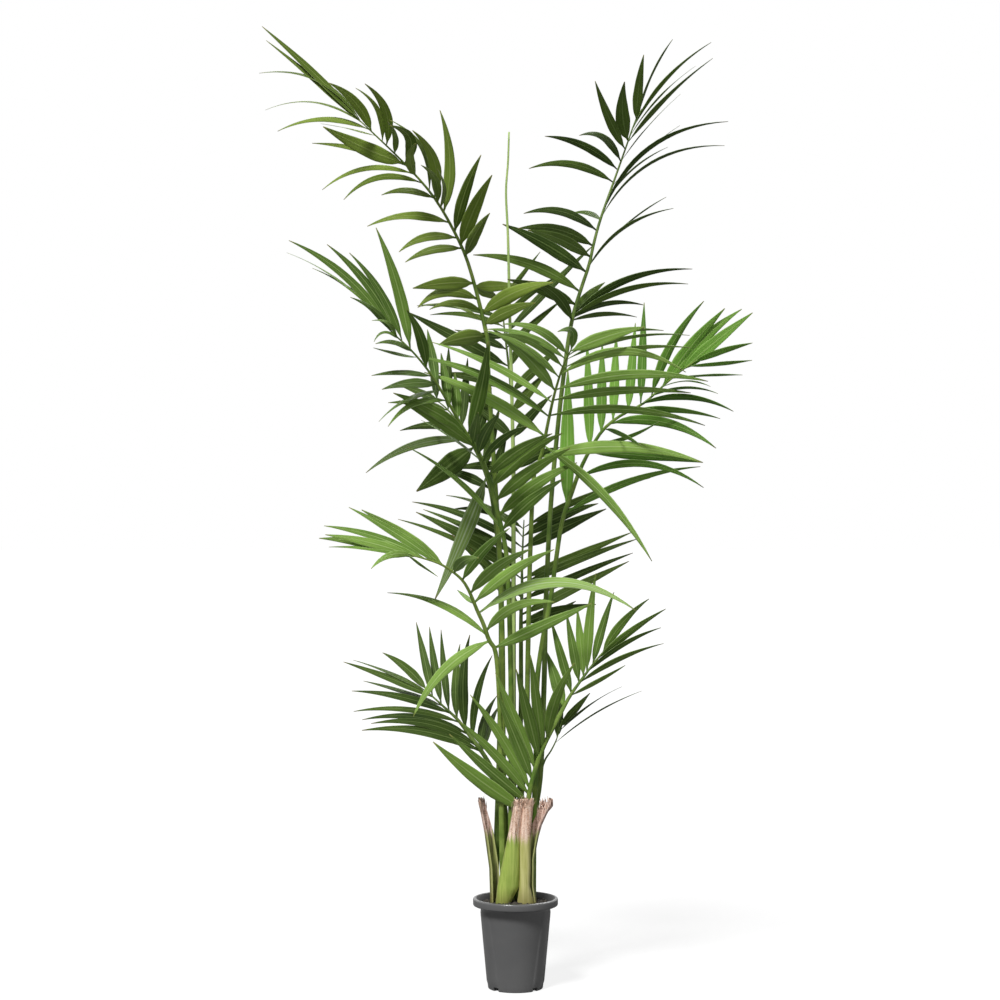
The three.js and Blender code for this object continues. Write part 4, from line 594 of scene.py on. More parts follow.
def leaf_blade(bm, leaflet, curve, least, draw):
    """A pleated, pointed blade along the curve. Its tone, how old it looks, is least or more; on fronds that
    stand in shadow the least is painted shade.
    """
    along_layer, across_layer, tone_layer = layers(bm, "along", "across", "tone")
    root, middle, tip = curve
    length = (tip - root).length
    tone = least + (1 - least) * draw()
    curl = (draw() - 0.5) * CURL
    droop = DROOP * draw() * length
    waves = RIPPLE["waves"] + RIPPLE["more_waves"] * draw()
    shift = RIPPLE["shift"] * draw()
    ripple = RIPPLE["height"] + RIPPLE["more_height"] * draw()
    cup = (draw() - CUP["centre"]) * CUP["range"]
    made = bmesh.ops.create_grid(bm, x_segments=LEAF_ACROSS, y_segments=LEAF_ALONG, size=1.0)["verts"]
    for vert in made:
        s, v = vert.co.x, (vert.co.y + 1) / 2
        centre = root * (1 - v) ** 2 + middle * (2 * v * (1 - v)) + tip * v * v
        ahead = ((middle - root) * (1 - v) + (tip - middle) * v).normalized()
        flat = TOWARDS_VIEWER.cross(ahead).normalized()
        face = ahead.cross(flat)
        twist = leaflet["twist"] + curl * ramp(v, 0.25, 1)
        side = flat * math.cos(twist) + face * math.sin(twist)
        up = ahead.cross(side)
        wide = max(leaflet["width"] * between(BLADE_PROFILE, v)[0] / 2, BLADE_LEAST)
        half = leaflet["neck"] + (wide - leaflet["neck"]) * ramp(v, 0, ROOT_TAPER)
        lift = between(PLEATS, abs(s))[0] * (1 - 0.5 * v) + cup * s * s * math.sin(math.pi * v)
        lift += ripple * s * abs(s) * math.sin(v * waves + shift) * math.sin(math.pi * v)
        point = centre + side * (s * half) + up * (lift * half)
        point.z -= droop * v ** 2.5
        vert.co = point * MM
        vert[along_layer] = v
        vert[across_layer] = s
        vert[tone_layer] = tone


def solid_points(node):
    """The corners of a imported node's mesh, to look the nearest one up by place."""
    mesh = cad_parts[node].data
    tree = kdtree.KDTree(len(mesh.vertices))
    for vert in mesh.vertices:
        tree.insert(vert.co / MM, vert.index)
    tree.balance()
    return tree


def build_frond(name, frond, number):
    """A frond in two pieces, its blades and its stalk, along the lines of its solid."""
    stem = Stem(frond)
    points = solid_points(name)
    draw = draws(BLADE_SEED + number)
    blades = bmesh.new()
    missing = 0
    for leaflet in leaflets_of(frond, stem, FIRST_SEED + number):
        curve = grown_curve(leaflet, points)
        if curve:
            # blades of fronds in shadow start darker: painted shade, towards the old colour
            leaf_blade(blades, leaflet, curve, PAINTED_SHADE_FRONDS.get(name, 0), draw)
        else:
            missing += 1
    if missing:
        print(name, "leaflets with no solid:", missing)
    upper, under, bare = FOLIAGE[frond["shade"]]
    # the blades' own faces look down, and the thickness puts the upper faces over them
    leaves = finished(name + "_leaflets", blades, [under, upper])
    wall = leaves.modifiers.new("thickness", "SOLIDIFY")
    wall.thickness = BLADE_THICKNESS * MM
    wall.offset = 0
    wall.material_offset = 1
    rod = bmesh.new()
    sweep(rod, stalk_stations(stem.line, stem.sizes, FLARE, draw()), STALK_SIDES)
    stalk = finished(name + "_stalk", rod, [bare])
    for piece in (leaves, stalk):
        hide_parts(name)


def build_spear():
    line = stalk_line(SPEAR["foot"], SPEAR["line"])
    rod = bmesh.new()
    sweep(rod, stalk_stations(line, SPEAR, 0, 0.5, SPEAR_GROOVE, SPEAR_STATIONS), STALK_SIDES)
    spear = finished("spear_leaf_rolled", rod, [spear_finish()])
    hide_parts("spear_leaf")


# ---------------------------------------------------------------- cut leaf bases
def stub_point(stub, height, angle):
    """A point on the middle of the plate, the direction out of it and its thickness there."""
    x, y, width, bulge, thickness = between(stub["rows"], height)
    turn = math.radians(stub["facing"])
    half = thickness * (EDGE_WALL + (1 - EDGE_WALL) * math.cos(angle)) / 2
    across = math.sin(angle) * (width - 0.6 * half)
    out = math.cos(angle) * (bulge - half) - bulge / 2
    right = Vector((math.cos(turn), math.sin(turn), 0))
    front = Vector((math.sin(turn), -math.cos(turn), 0))
    point = Vector((x, y, height)) + right * across + front * out
    return point, (right * math.sin(angle) + front * math.cos(angle)), half * 2


def build_plate(name, stub, draw):
    """The gutter-shaped plate, ribbed lengthways and torn at the top."""
    low, high = stub["rows"][0][0], stub["rows"][-1][0]
    torn = [(draw() - TORN_LEVEL) * 2 * stub["ragged"] for _ in range(STUB_COLUMNS + 1)]
    ribs = [(draw() - 0.5) * RIB_HEIGHT for _ in range(STUB_COLUMNS + 1)]
    plate = bmesh.new()
    along_layer, across_layer, tone_layer = layers(plate, "along", "across", "tone")
    grid = bmesh.ops.create_grid(plate, x_segments=STUB_COLUMNS, y_segments=STUB_ROWS, size=1.0)["verts"]
    weights = {}
    for vert in grid:
        s, v = vert.co.x, (vert.co.y + 1) / 2
        i = min(int(round((s + 1) / 2 * STUB_COLUMNS)), STUB_COLUMNS)
        point, out, thickness = stub_point(stub, low + (high - low) * v, math.pi / 2 * s)
        point.z += torn[i] * ramp(v, TORN_FROM, 1)
        point += out * (ribs[i] * (0.4 + 0.6 * v))
        vert.co = point * MM
        vert[along_layer] = v
        vert[across_layer] = s
        vert[tone_layer] = (i % RIB_TONES) / (RIB_TONES - 1)
        weights[vert.index] = thickness
    bmesh.ops.recalc_face_normals(plate, faces=plate.faces)
    piece = finished(name + "_plate", plate, [BARK[stub["bark"]]])
    thickest = max(weights.values())
    group = piece.vertex_groups.new(name="thick")
    for index, thickness in weights.items():
        group.add([index], thickness / thickest, "REPLACE")
    wall = piece.modifiers.new("thickness", "SOLIDIFY")
    wall.thickness = thickest * MM
    wall.offset = 0
    wall.vertex_group = "thick"
    return piece


def build_fibres(name, stub, draw):
    """Loose strips standing out of the torn top."""
    high, thickness = stub["rows"][-1][0], stub["rows"][-1][-1]
    tufts = bmesh.new()
    along_layer, across_layer, tone_layer = layers(tufts, "along", "across", "tone")
    for _ in range(FIBRES["count"]):
        angle = math.pi / 2 * (2 * draw() - 1)
        start, out, _ = stub_point(stub, high - FIBRES["below_top"] - FIBRES["spread"] * draw(), angle)
        lean = out * (draw() - FIBRES["outwards"]) + Vector((draw() - 0.5, draw() - 0.5, 0))
        lean *= FIBRES["lean"]
        reach = FIBRES["length"] + FIBRES["more_length"] * draw()
        width = FIBRES["width"] + FIBRES["more_width"] * draw()
        side = out.cross(Vector((0, 0, 1))).normalized()
        start += out * (FIBRES["proud"] + thickness * 0.3)
        strip = bmesh.ops.create_grid(tufts, x_segments=1, y_segments=5, size=1.0)["verts"]
        for vert in strip:
            s, v = vert.co.x, (vert.co.y + 1) / 2
            point = start + (Vector((0, 0, 1)) + lean * v) * (reach * v)
            vert.co = (point + side * (s * width * (1 - FIBRES["taper"] * v))) * MM
            vert[along_layer] = 1
            vert[across_layer] = s
            vert[tone_layer] = draw()
    piece = finished(name + "_fibres", tufts, [BARK["frayed"]])
    skin = piece.modifiers.new("thickness", "SOLIDIFY")
    skin.thickness = FIBRES["thickness"] * MM
    skin.offset = 0
    return piece


def build_stub(name, stub, number):
    """A cut leaf base. Its fibres take the random draws after its plate's."""
    draw = draws(STUB_SEED + number)
    for build in (build_plate, build_fibres):
        piece = build(name, stub, draw)
        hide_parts(name)


# ---------------------------------------------------------------- soil and pot
def body_radius(z):
    """Radius of the pot's side at a height."""
    return POT["base_radius"] + (POT["shoulder_radius"] - POT["base_radius"]) * z / POT["shoulder_height"]


def spun(bm, outline, steps):
    """A full turn of an outline of [radius, height] points that starts and ends on the axis."""
    verts = [bm.verts.new((radius * MM, 0, height * MM)) for radius, height in outline]
    edges = [bm.edges.new(pair) for pair in zip(verts, verts[1:])]
    bmesh.ops.spin(
        bm, geom=verts + edges, cent=(0, 0, 0), axis=(0, 0, 1),
        angle=2 * math.pi, steps=steps, use_merge=True,
    )
    bmesh.ops.remove_doubles(bm, verts=bm.verts, dist=1e-6)
    bmesh.ops.recalc_face_normals(bm, faces=bm.faces)


def rounded(corner, radius, start, end, steps=5):
    """Points of a round edge about a centre, from one angle in degrees to another."""
    return [
        [corner[0] + radius * math.cos(math.radians(a)), corner[1] + radius * math.sin(math.radians(a))]
        for a in [start + (end - start) * i / steps for i in range(steps + 1)]
    ]


def pot_outline():
    """Half a section of the pot: underside, side, rolled rim, step and inside."""
    edge, soft = POT["rim_edge"], POT_SOFT_EDGE
    base, shoulder = POT["base_radius"], POT["shoulder_radius"]
    inner, height, wall = POT["rim_inner"], POT["height"], POT["wall"]
    outline = [[0, 0], [base - POT_SOLE, 0]]
    outline += rounded((base - soft, soft), soft, -90, -10)
    for level in range(1, POT_LEVELS + 1):
        z = soft + (POT["shoulder_height"] - 3 * soft) * level / POT_LEVELS
        outline.append([body_radius(z), z])
    outline.append([shoulder + 1, POT["shoulder_height"]])
    outline += rounded((POT["rim_radius"] - edge, POT["rim_bottom"] + edge), edge, -90, 0)
    outline += rounded((POT["rim_radius"] - edge, height - edge), edge, 0, 90)
    outline += [[inner + 1.5, height], [inner, height - 1.2]]
    outline += [[inner - RIM_LEDGE, height - RIM_STEP], [shoulder - wall, POT["shoulder_height"]]]
    outline += [[base - wall, POT["floor"]], [0, POT["floor"]]]
    return outline


def raise_panels(shell):
    """Moves the side's points out where the two raised panels are, one on the left and one on the right."""
    for vert in shell.verts:
        z = vert.co.z / MM
        radius = math.hypot(vert.co.x, vert.co.y) / MM
        if abs(radius - body_radius(z)) > 0.05 or not PANEL["low"] < z < PANEL["high"]:
            continue
        from_front = math.degrees(math.atan2(abs(vert.co.x), -vert.co.y))
        level = (z - PANEL["low"]) / (PANEL["high"] - PANEL["low"])
        edge_at = PANEL["bottom_edge"] + (PANEL["top_edge"] - PANEL["bottom_edge"]) * level
        inside = min(from_front - edge_at, 180 - edge_at - from_front)
        ends = min(z - PANEL["low"], PANEL["high"] - z)
        lift = PANEL["proud"] * ramp(inside, 0, PANEL["ramp"]) * ramp(ends, 0, PANEL["end_ramp"])
        vert.co.xy *= (radius + lift) / radius


def cut_notches(pot):
    """Cuts the drain notches out of the pot's foot for good."""
    blocks = bmesh.new()
    out = Matrix.Translation((0, -POT["base_radius"] * MM, 0))
    size = Matrix.Diagonal((NOTCH["width"] * MM, NOTCH["depth"] * 2 * MM, NOTCH["height"] * 2 * MM, 1))
    for i in range(NOTCH["count"]):
        turn = Matrix.Rotation(math.radians(NOTCH["first"] + 360 / NOTCH["count"] * i), 4, "Z")
        bmesh.ops.create_cube(blocks, size=1, matrix=turn @ out @ size)
    mesh = bpy.data.meshes.new("notches")
    blocks.to_mesh(mesh)
    blocks.free()
    cutter = bpy.data.objects.new("notches", mesh)
    bpy.context.scene.collection.objects.link(cutter)
    cut = pot.modifiers.new("notches", "BOOLEAN")
    cut.operation = "DIFFERENCE"
    cut.object = cutter
    cut.solver = "EXACT"
    depsgraph = bpy.context.evaluated_depsgraph_get()
    done = bpy.data.meshes.new_from_object(pot.evaluated_get(depsgraph))
    pot.modifiers.clear()
    pot.data = done
    bpy.data.objects.remove(cutter)


def build_pot():
    """The pot in one piece, with painted shade, a darker finish, on the faces that look inwards."""
    shell = bmesh.new()
    spun(shell, pot_outline(), POT["sides"])
    for face in shell.faces:
        middle = face.calc_center_median()
        looks_in = face.normal.x * middle.x + face.normal.y * middle.y < 0
        face.material_index = 1 if looks_in else 0
    raise_panels(shell)
    pot = finished("pot_moulded", shell, [POT_PLASTIC, POT_PAINTED_SHADE_INSIDE])
    cut_notches(pot)
    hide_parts("pot")


def soil_height(share):
    """Height of the soil at this share of the way from its middle to its edge."""
    return SOIL["top"] + SOIL["dome"] * (1 - share ** 2)


def build_bed(edge):
    """The soil as one body: a rough domed top, and sides that follow the inside of the pot."""
    rings, gap, wall = SOIL["rings"], SOIL["gap"], POT["wall"]
    outline = []
    for ring in range(rings + 1):
        outline.append([edge * ring / rings, soil_height(ring / rings)])
    outline += [[POT["shoulder_radius"] - wall - gap, POT["shoulder_height"]]]
    outline += [[POT["base_radius"] - wall - gap, POT["floor"] + gap], [0, POT["floor"] + gap]]
    bed = bmesh.new()
    spun(bed, outline, SOIL["sides"])
    for vert in bed.verts:
        radius = math.hypot(vert.co.x, vert.co.y) / MM
        if vert.co.z / MM < SOIL["top"] - 0.5 or radius > edge - 0.5:
            continue
        rough = noise.fractal(vert.co * 90, 0.8, 2.1, 4)
        vert.co.z += rough * SOIL["rough"] * MM * ramp(edge - radius, 0, 8)
    return finished("soil_bed", bed, [SOIL_FINISH])


def build_crumbs(edge):
    """Small lumps strewn over the bed."""
    draw = draws(CRUMB["seed"])
    crumbs = bmesh.new()
    tone_layer, = layers(crumbs, "tone")
    for _ in range(CRUMB["count"]):
        radius = (edge - 3) * math.sqrt(draw())
        turn = 2 * math.pi * draw()
        size = (CRUMB["least"] + CRUMB["more"] * draw() ** 2.5) * MM
        height = soil_height(radius / edge) + CRUMB["rise"]
        spot = Vector((radius * math.cos(turn), radius * math.sin(turn), height)) * MM
        spin = Matrix.Rotation(draw() * CRUMB["turn"], 4, (draw(), draw(), 0.4))
        shape = Matrix.Diagonal((size * (1 + draw()), size, size * (0.4 + 0.5 * draw()), 1))
        matrix = Matrix.Translation(spot) @ spin @ shape
        lump = bmesh.ops.create_icosphere(crumbs, subdivisions=1, radius=1, matrix=matrix)["verts"]
        tone = draw()
        for vert in lump:
            vert.co += Vector((draw() - 0.5, draw() - 0.5, draw() - 0.5)) * size * CRUMB["uneven"]
            vert[tone_layer] = tone
    return finished("soil_crumbs", crumbs, [CRUMB_FINISH], smooth=False)


def build_soil():
    inner = POT["rim_inner"] - RIM_LEDGE
    edge = inner - SOIL["gap"] - (POT["height"] - RIM_STEP - SOIL["top"]) * SOIL["taper"]
    for piece in (build_bed(edge), build_crumbs(edge)):
        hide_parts("soil")


# ---------------------------------------------------------------- finishes
def add(tree, kind, inputs=None, **settings):
    """A new node. An input may be a value or the socket that feeds it."""
    made = tree.nodes.new(kind)
    for key, value in settings.items():
        setattr(made, key, value)
    for key, value in (inputs or {}).items():
        if isinstance(value, bpy.types.NodeSocket):
            tree.links.new(value, made.inputs[key])
        else:
            made.inputs[key].default_value = value
    return made


def maths(tree, operation, a, b=0.0, c=0.0):
    return add(tree, "ShaderNodeMath", {0: a, 1: b, 2: c}, operation=operation).outputs[0]


def mix(tree, factor, a, b):
    """The colour between two colours. The inputs' numbers are the node's own for colours."""
    return add(tree, "ShaderNodeMix", {0: factor, 6: a, 7: b}, data_type="RGBA").outputs[2]


def over(tree, colour, other, mask, share):
    """The colour with another over it, as strongly as the mask times the share."""
    return mix(tree, maths(tree, "MULTIPLY", mask, share), colour, other)


def attribute(tree, name):
    return add(tree, "ShaderNodeAttribute", attribute_name=name).outputs["Fac"]


def smooth_between(tree, value, low, high):
    made = add(
        tree, "ShaderNodeMapRange", {"Value": value, "From Min": low, "From Max": high},
        interpolation_type="SMOOTHSTEP",
    )
    return made.outputs["Result"]


def effect(name, inputs, outputs):
    """An empty node group with its sockets, to be filled in."""
    group = bpy.data.node_groups.new(name, "ShaderNodeTree")
    for label, kind, value in inputs:
        socket = group.interface.new_socket(label, in_out="INPUT", socket_type=kind)
        socket.default_value = value
    for label, kind in outputs:
        group.interface.new_socket(label, in_out="OUTPUT", socket_type=kind)
    return group, group.nodes.new("NodeGroupInput"), group.nodes.new("NodeGroupOutput")


def make_mottling():
    """Soft patches and fine grain over the object's own space."""
    group, given, result = effect(
        "mottling",
        [("Scale", "NodeSocketFloat", 20.0), ("Fine", "NodeSocketFloat", 300.0)],
        [("Patches", "NodeSocketFloat"), ("Grain", "NodeSocketFloat")],
    )
    spot = add(group, "ShaderNodeTexCoord").outputs["Object"]
    coarse, fine = given.outputs["Scale"], given.outputs["Fine"]
    patches = add(group, "ShaderNodeTexNoise", {"Vector": spot, "Scale": coarse, "Detail": 3.0})
    grain = add(group, "ShaderNodeTexNoise", {"Vector": spot, "Scale": fine, "Detail": 4.0})
    group.links.new(smooth_between(group, patches.outputs["Fac"], 0.35, 0.65), result.inputs["Patches"])
    group.links.new(grain.outputs["Fac"], result.inputs["Grain"])
    return group


def make_veins():
    """Fine lines along a blade or stalk, from its own across value."""
    group, given, result = effect(
        "long_veins",
        [("Lines", "NodeSocketFloat", 30.0), ("Wander", "NodeSocketFloat", 0.4)],
        [("Lines", "NodeSocketFloat"), ("Rib", "NodeSocketFloat"), ("Edge", "NodeSocketFloat")],
    )
    across = attribute(group, "across")
    along = attribute(group, "along")
    spot = add(group, "ShaderNodeCombineXYZ", {"X": across, "Y": maths(group, "MULTIPLY", along, 0.06)})
    wobble = add(group, "ShaderNodeTexNoise", {"Vector": spot.outputs[0], "Scale": 9.0, "Detail": 2.0})
    wander = maths(group, "MULTIPLY", wobble.outputs["Fac"], given.outputs["Wander"])
    phase = maths(group, "ADD", maths(group, "MULTIPLY", across, given.outputs["Lines"]), wander)
    line = maths(group, "SINE", phase)
    line = maths(group, "MULTIPLY_ADD", line, 0.5, 0.5)
    uneven = add(group, "ShaderNodeTexNoise", {"Vector": spot.outputs[0], "Scale": 34.0, "Detail": 2.0})
    group.links.new(maths(group, "MULTIPLY", line, uneven.outputs["Fac"]), result.inputs["Lines"])
    off_middle = maths(group, "ABSOLUTE", across)
    rib = maths(group, "SUBTRACT", 1.0, smooth_between(group, off_middle, 0.02, 0.13))
    group.links.new(rib, result.inputs["Rib"])
    group.links.new(smooth_between(group, off_middle, 0.84, 0.97), result.inputs["Edge"])
    return group


MOTTLING = make_mottling()
VEINS = make_veins()


def new_finish(name, **constants):
    """A material, its nodes and its shader, whose fixed inputs are named with _ for each space."""
    material = bpy.data.materials.new(name)
    material.use_nodes = True
    tree = material.node_tree
    shader = tree.nodes["Principled BSDF"]
    for key, value in constants.items():
        shader.inputs[key.replace("_", " ")].default_value = value
    return material, tree, shader


def placed(tree, group, **values):
    """A shared effect in a material, with its own settings."""
    made = add(tree, "ShaderNodeGroup", node_tree=group)
    for key, value in values.items():
        made.inputs[key].default_value = value
    return made


def bumped(tree, shader, height, strength, distance):
    bump = add(tree, "ShaderNodeBump", {"Height": height, "Strength": strength, "Distance": distance})
    tree.links.new(bump.outputs["Normal"], shader.inputs["Normal"])


def leaf_finish(name, young, old, paler, roughness, specular, striped):
    """Striped is how strongly the blade's broad pale lines show."""
    material, tree, shader = new_finish(name, Specular_IOR_Level=specular)
    tone, along = attribute(tree, "tone"), attribute(tree, "along")
    mottle = placed(tree, MOTTLING, Scale=14.0, Fine=420.0)
    veins = placed(tree, VEINS, Lines=44.0, Wander=3.0)
    pleats = placed(tree, VEINS, Lines=14.0, Wander=5.0)
    # the tone gives the blade's age, and on fronds in shadow also painted shade
    age_and_painted_shade = maths(tree, "MULTIPLY_ADD", tone, 0.75, maths(tree, "MULTIPLY", mottle.outputs["Patches"], 0.25))
    colour = mix(tree, age_and_painted_shade, young, old)
    lines = maths(tree, "MULTIPLY", veins.outputs["Lines"], 0.35)
    colour = mix(tree, lines, colour, paler)
    stripes = smooth_between(tree, pleats.outputs["Lines"], 0.28, 0.5)
    colour = over(tree, colour, paler, stripes, striped)
    colour = over(tree, colour, paler, veins.outputs["Rib"], 0.6)
    colour = over(tree, colour, paler, veins.outputs["Edge"], 0.45)
    dry = maths(tree, "MULTIPLY", smooth_between(tree, along, 0.93, 1.0), mottle.outputs["Grain"])
    colour = mix(tree, dry, colour, DRY_TIP)
    tree.links.new(colour, shader.inputs["Base Color"])
    rough = maths(tree, "MULTIPLY_ADD", mottle.outputs["Grain"], 0.16, roughness - 0.08)
    tree.links.new(rough, shader.inputs["Roughness"])
    height = maths(tree, "ADD", veins.outputs["Lines"], maths(tree, "MULTIPLY", veins.outputs["Rib"], 0.8))
    bumped(tree, shader, height, 0.55, 0.0006)
    return material


def stalk_finish(name, green, shade):
    """Green with darker patches, fine long lines and brown scurf."""
    material, tree, shader = new_finish(name, Specular_IOR_Level=0.2)
    mottle = placed(tree, MOTTLING, Scale=30.0, Fine=700.0)
    veins = placed(tree, VEINS, Lines=26.0, Wander=4.0)
    colour = mix(tree, mottle.outputs["Patches"], green, shade)
    colour = over(tree, colour, green, veins.outputs["Lines"], 0.4)
    scurf = smooth_between(tree, mottle.outputs["Grain"], 0.6, 0.75)
    colour = over(tree, colour, SCURF, scurf, 0.35)
    tree.links.new(colour, shader.inputs["Base Color"])
    rough = maths(tree, "MULTIPLY_ADD", mottle.outputs["Grain"], 0.2, 0.32)
    tree.links.new(rough, shader.inputs["Roughness"])
    bumped(tree, shader, veins.outputs["Lines"], 0.4, 0.0005)
    return material


def spear_finish():
    material, tree, shader = new_finish("spear_green", Roughness=0.42, Specular_IOR_Level=0.2)
    mottle = placed(tree, MOTTLING, Scale=25.0, Fine=500.0)
    veins = placed(tree, VEINS, Lines=18.0, Wander=2.0)
    colour = mix(tree, mottle.outputs["Patches"], SPEAR_GREEN, SPEAR_SHADE)
    colour = mix(tree, veins.outputs["Lines"], colour, SPEAR_PALE)
    tree.links.new(colour, shader.inputs["Base Color"])
    bumped(tree, shader, veins.outputs["Lines"], 0.6, 0.0006)
    return material


def bark_finish(name, low, streak, edging, torn, torn_pale_and_painted_highlight, torn_from):
    """Green and smooth low down with pale edges, brown and fibrous towards the torn top."""
    material, tree, shader = new_finish(name)
    along, tone = attribute(tree, "along"), attribute(tree, "tone")
    spot = add(tree, "ShaderNodeTexCoord").outputs["Object"]
    stretched = add(tree, "ShaderNodeMapping", {"Vector": spot, "Scale": (260.0, 260.0, 9.0)})
    streaks = add(tree, "ShaderNodeTexNoise", {"Vector": stretched.outputs[0], "Scale": 1.0, "Detail": 4.0})
    mottle = placed(tree, MOTTLING, Scale=38.0, Fine=500.0)
    stripe = smooth_between(tree, streaks.outputs["Fac"], 0.42, 0.68)
    colour = mix(tree, stripe, low, streak)
    colour = over(tree, colour, streak, mottle.outputs["Patches"], 0.35)
    # the plate's side edges take the edging colour; where it is pale it is the margins' own cream colour and
    # painted highlight
    outer = smooth_between(tree, maths(tree, "ABSOLUTE", attribute(tree, "across")), 0.72, 0.92)
    colour = over(tree, colour, edging, outer, 0.75)
    edge = maths(tree, "MULTIPLY_ADD", streaks.outputs["Fac"], 0.16, maths(tree, "MULTIPLY", tone, 0.03))
    browning = smooth_between(tree, maths(tree, "ADD", along, edge), torn_from, torn_from + 0.09)
    top = mix(tree, stripe, torn, torn_pale_and_painted_highlight)
    torn_spots = placed(tree, MOTTLING, Scale=330.0, Fine=900.0)
    specks = smooth_between(tree, torn_spots.outputs["Grain"], 0.58, 0.66)
    # pale patches on the torn top: the fibres' own pale flecks and painted highlight
    top = over(tree, top, torn_pale_and_painted_highlight, torn_spots.outputs["Patches"], 0.55)
    top = over(tree, top, TORN_SPECK, specks, 0.75)
    colour = mix(tree, browning, colour, top)
    base = maths(tree, "SUBTRACT", 1.0, smooth_between(tree, along, 0.12, 0.3))
    colour = over(tree, colour, FOOT_BROWN, base, 0.5)
    tree.links.new(colour, shader.inputs["Base Color"])
    tree.links.new(maths(tree, "MULTIPLY_ADD", browning, 0.4, 0.4), shader.inputs["Roughness"])
    bumped(tree, shader, streaks.outputs["Fac"], 0.7, 0.0012)
    return material


def frayed_finish():
    material, tree, shader = new_finish("frayed_fibre", Roughness=0.85)
    mottle = placed(tree, MOTTLING, Scale=120.0, Fine=900.0)
    colour = mix(tree, attribute(tree, "tone"), FIBRE_TAN, FIBRE_PALE)
    colour = over(tree, colour, FIBRE_DARK, mottle.outputs["Patches"], 0.45)
    tree.links.new(colour, shader.inputs["Base Color"])
    return material


def pot_finish(name, dark, light, roughness):
    """Moulded plastic, faintly uneven and dusty."""
    material, tree, shader = new_finish(name, Specular_IOR_Level=0.5)
    mottle = placed(tree, MOTTLING, Scale=9.0, Fine=1500.0)
    colour = mix(tree, mottle.outputs["Patches"], dark, light)
    dust = smooth_between(tree, mottle.outputs["Grain"], 0.6, 0.8)
    colour = over(tree, colour, POT_DUST, dust, 0.1)
    tree.links.new(colour, shader.inputs["Base Color"])
    rough = maths(tree, "MULTIPLY_ADD", mottle.outputs["Grain"], 0.12, roughness - 0.06)
    tree.links.new(rough, shader.inputs["Roughness"])
    bumped(tree, shader, mottle.outputs["Grain"], 0.12, 0.0003)
    return material


def soil_finish(name, dark, light):
    material, tree, shader = new_finish(name, Roughness=0.95, Specular_IOR_Level=0.25)
    mottle = placed(tree, MOTTLING, Scale=160.0, Fine=900.0)
    colour = mix(tree, mottle.outputs["Grain"], dark, light)
    tree.links.new(mix(tree, attribute(tree, "tone"), colour, light), shader.inputs["Base Color"])
    bumped(tree, shader, mottle.outputs["Grain"], 0.8, 0.0015)
    return material


DRY_TIP = (0.3, 0.2, 0.08, 1)
SCURF = (0.3, 0.2, 0.12, 1)
SPEAR_GREEN = (0.42, 0.56, 0.16, 1)
SPEAR_SHADE = (0.27, 0.42, 0.1, 1)
SPEAR_PALE = (0.6, 0.74, 0.32, 1)
TORN_BROWN = (0.55, 0.32, 0.21, 1)
TORN_PALE_AND_PAINTED_HIGHLIGHT = (1.0, 0.8, 0.66, 1)
TORN_SPECK = (0.13, 0.05, 0.03, 1)
FOOT_BROWN = (0.2, 0.15, 0.05, 1)
FIBRE_TAN = (0.5, 0.3, 0.2, 1)
FIBRE_PALE = (0.82, 0.62, 0.48, 1)
FIBRE_DARK = (0.2, 0.1, 0.06, 1)
POT_DUST = (0.3, 0.28, 0.25, 1)
# Each shade: young and old blade colours, paler rib, roughness, then the stalk's green and its shade.
SHADES = {
    "olive": ((0.22, 0.32, 0.045), (0.05, 0.1, 0.006), (0.34, 0.43, 0.13), 0.44,
              (0.22, 0.31, 0.06), (0.1, 0.18, 0.025)),
    "deep": ((0.11, 0.185, 0.025), (0.012, 0.034, 0.004), (0.2, 0.28, 0.09), 0.42,
             (0.16, 0.24, 0.05), (0.07, 0.13, 0.018)),
    "mid": ((0.175, 0.31, 0.045), (0.028, 0.075, 0.006), (0.33, 0.45, 0.15), 0.44,
            (0.21, 0.31, 0.06), (0.09, 0.18, 0.025)),
    "fresh": ((0.29, 0.48, 0.085), (0.08, 0.18, 0.014), (0.46, 0.62, 0.24), 0.46,
              (0.27, 0.38, 0.08), (0.14, 0.23, 0.035)),
    "bright": ((0.19, 0.4, 0.05), (0.045, 0.15, 0.01), (0.36, 0.52, 0.17), 0.44,
               (0.21, 0.31, 0.06), (0.09, 0.18, 0.025)),
}
# the silvery stripes on the under sides are pale vein lines with a painted sheen
UNDER_GREY = (0.3, 0.38, 0.2)  # the under sides are paler and greyer, with silvery stripes
UNDER_VEIN_AND_PAINTED_SHEEN = (0.52, 0.6, 0.46)


def blend(a, b, share):
    return tuple(p * (1 - share) + q * share for p, q in zip(a, b))


def foliage(shade):
    """The finishes of a frond: its blades' upper and under sides, and its stalk."""
    young, old, paler, roughness, green, dark = SHADES[shade]
    # the under sides' pale lines, rib and edges are half the rib colour and half a painted silvery sheen
    under, stripe = blend(young, UNDER_GREY, 0.3), blend(paler, UNDER_VEIN_AND_PAINTED_SHEEN, 0.5)
    name = "leaf_" + shade
    return (
        leaf_finish(name, (*young, 1), (*old, 1), (*paler, 1), roughness, 0.07, 0.2),
        leaf_finish(name + "_under", (*under, 1), (*young, 1), (*stripe, 1), roughness + 0.14, 0.05, 0.45),
        stalk_finish("stalk_" + shade, (*green, 1), (*dark, 1)),
    )


FOLIAGE = {shade: foliage(shade) for shade in SHADES}

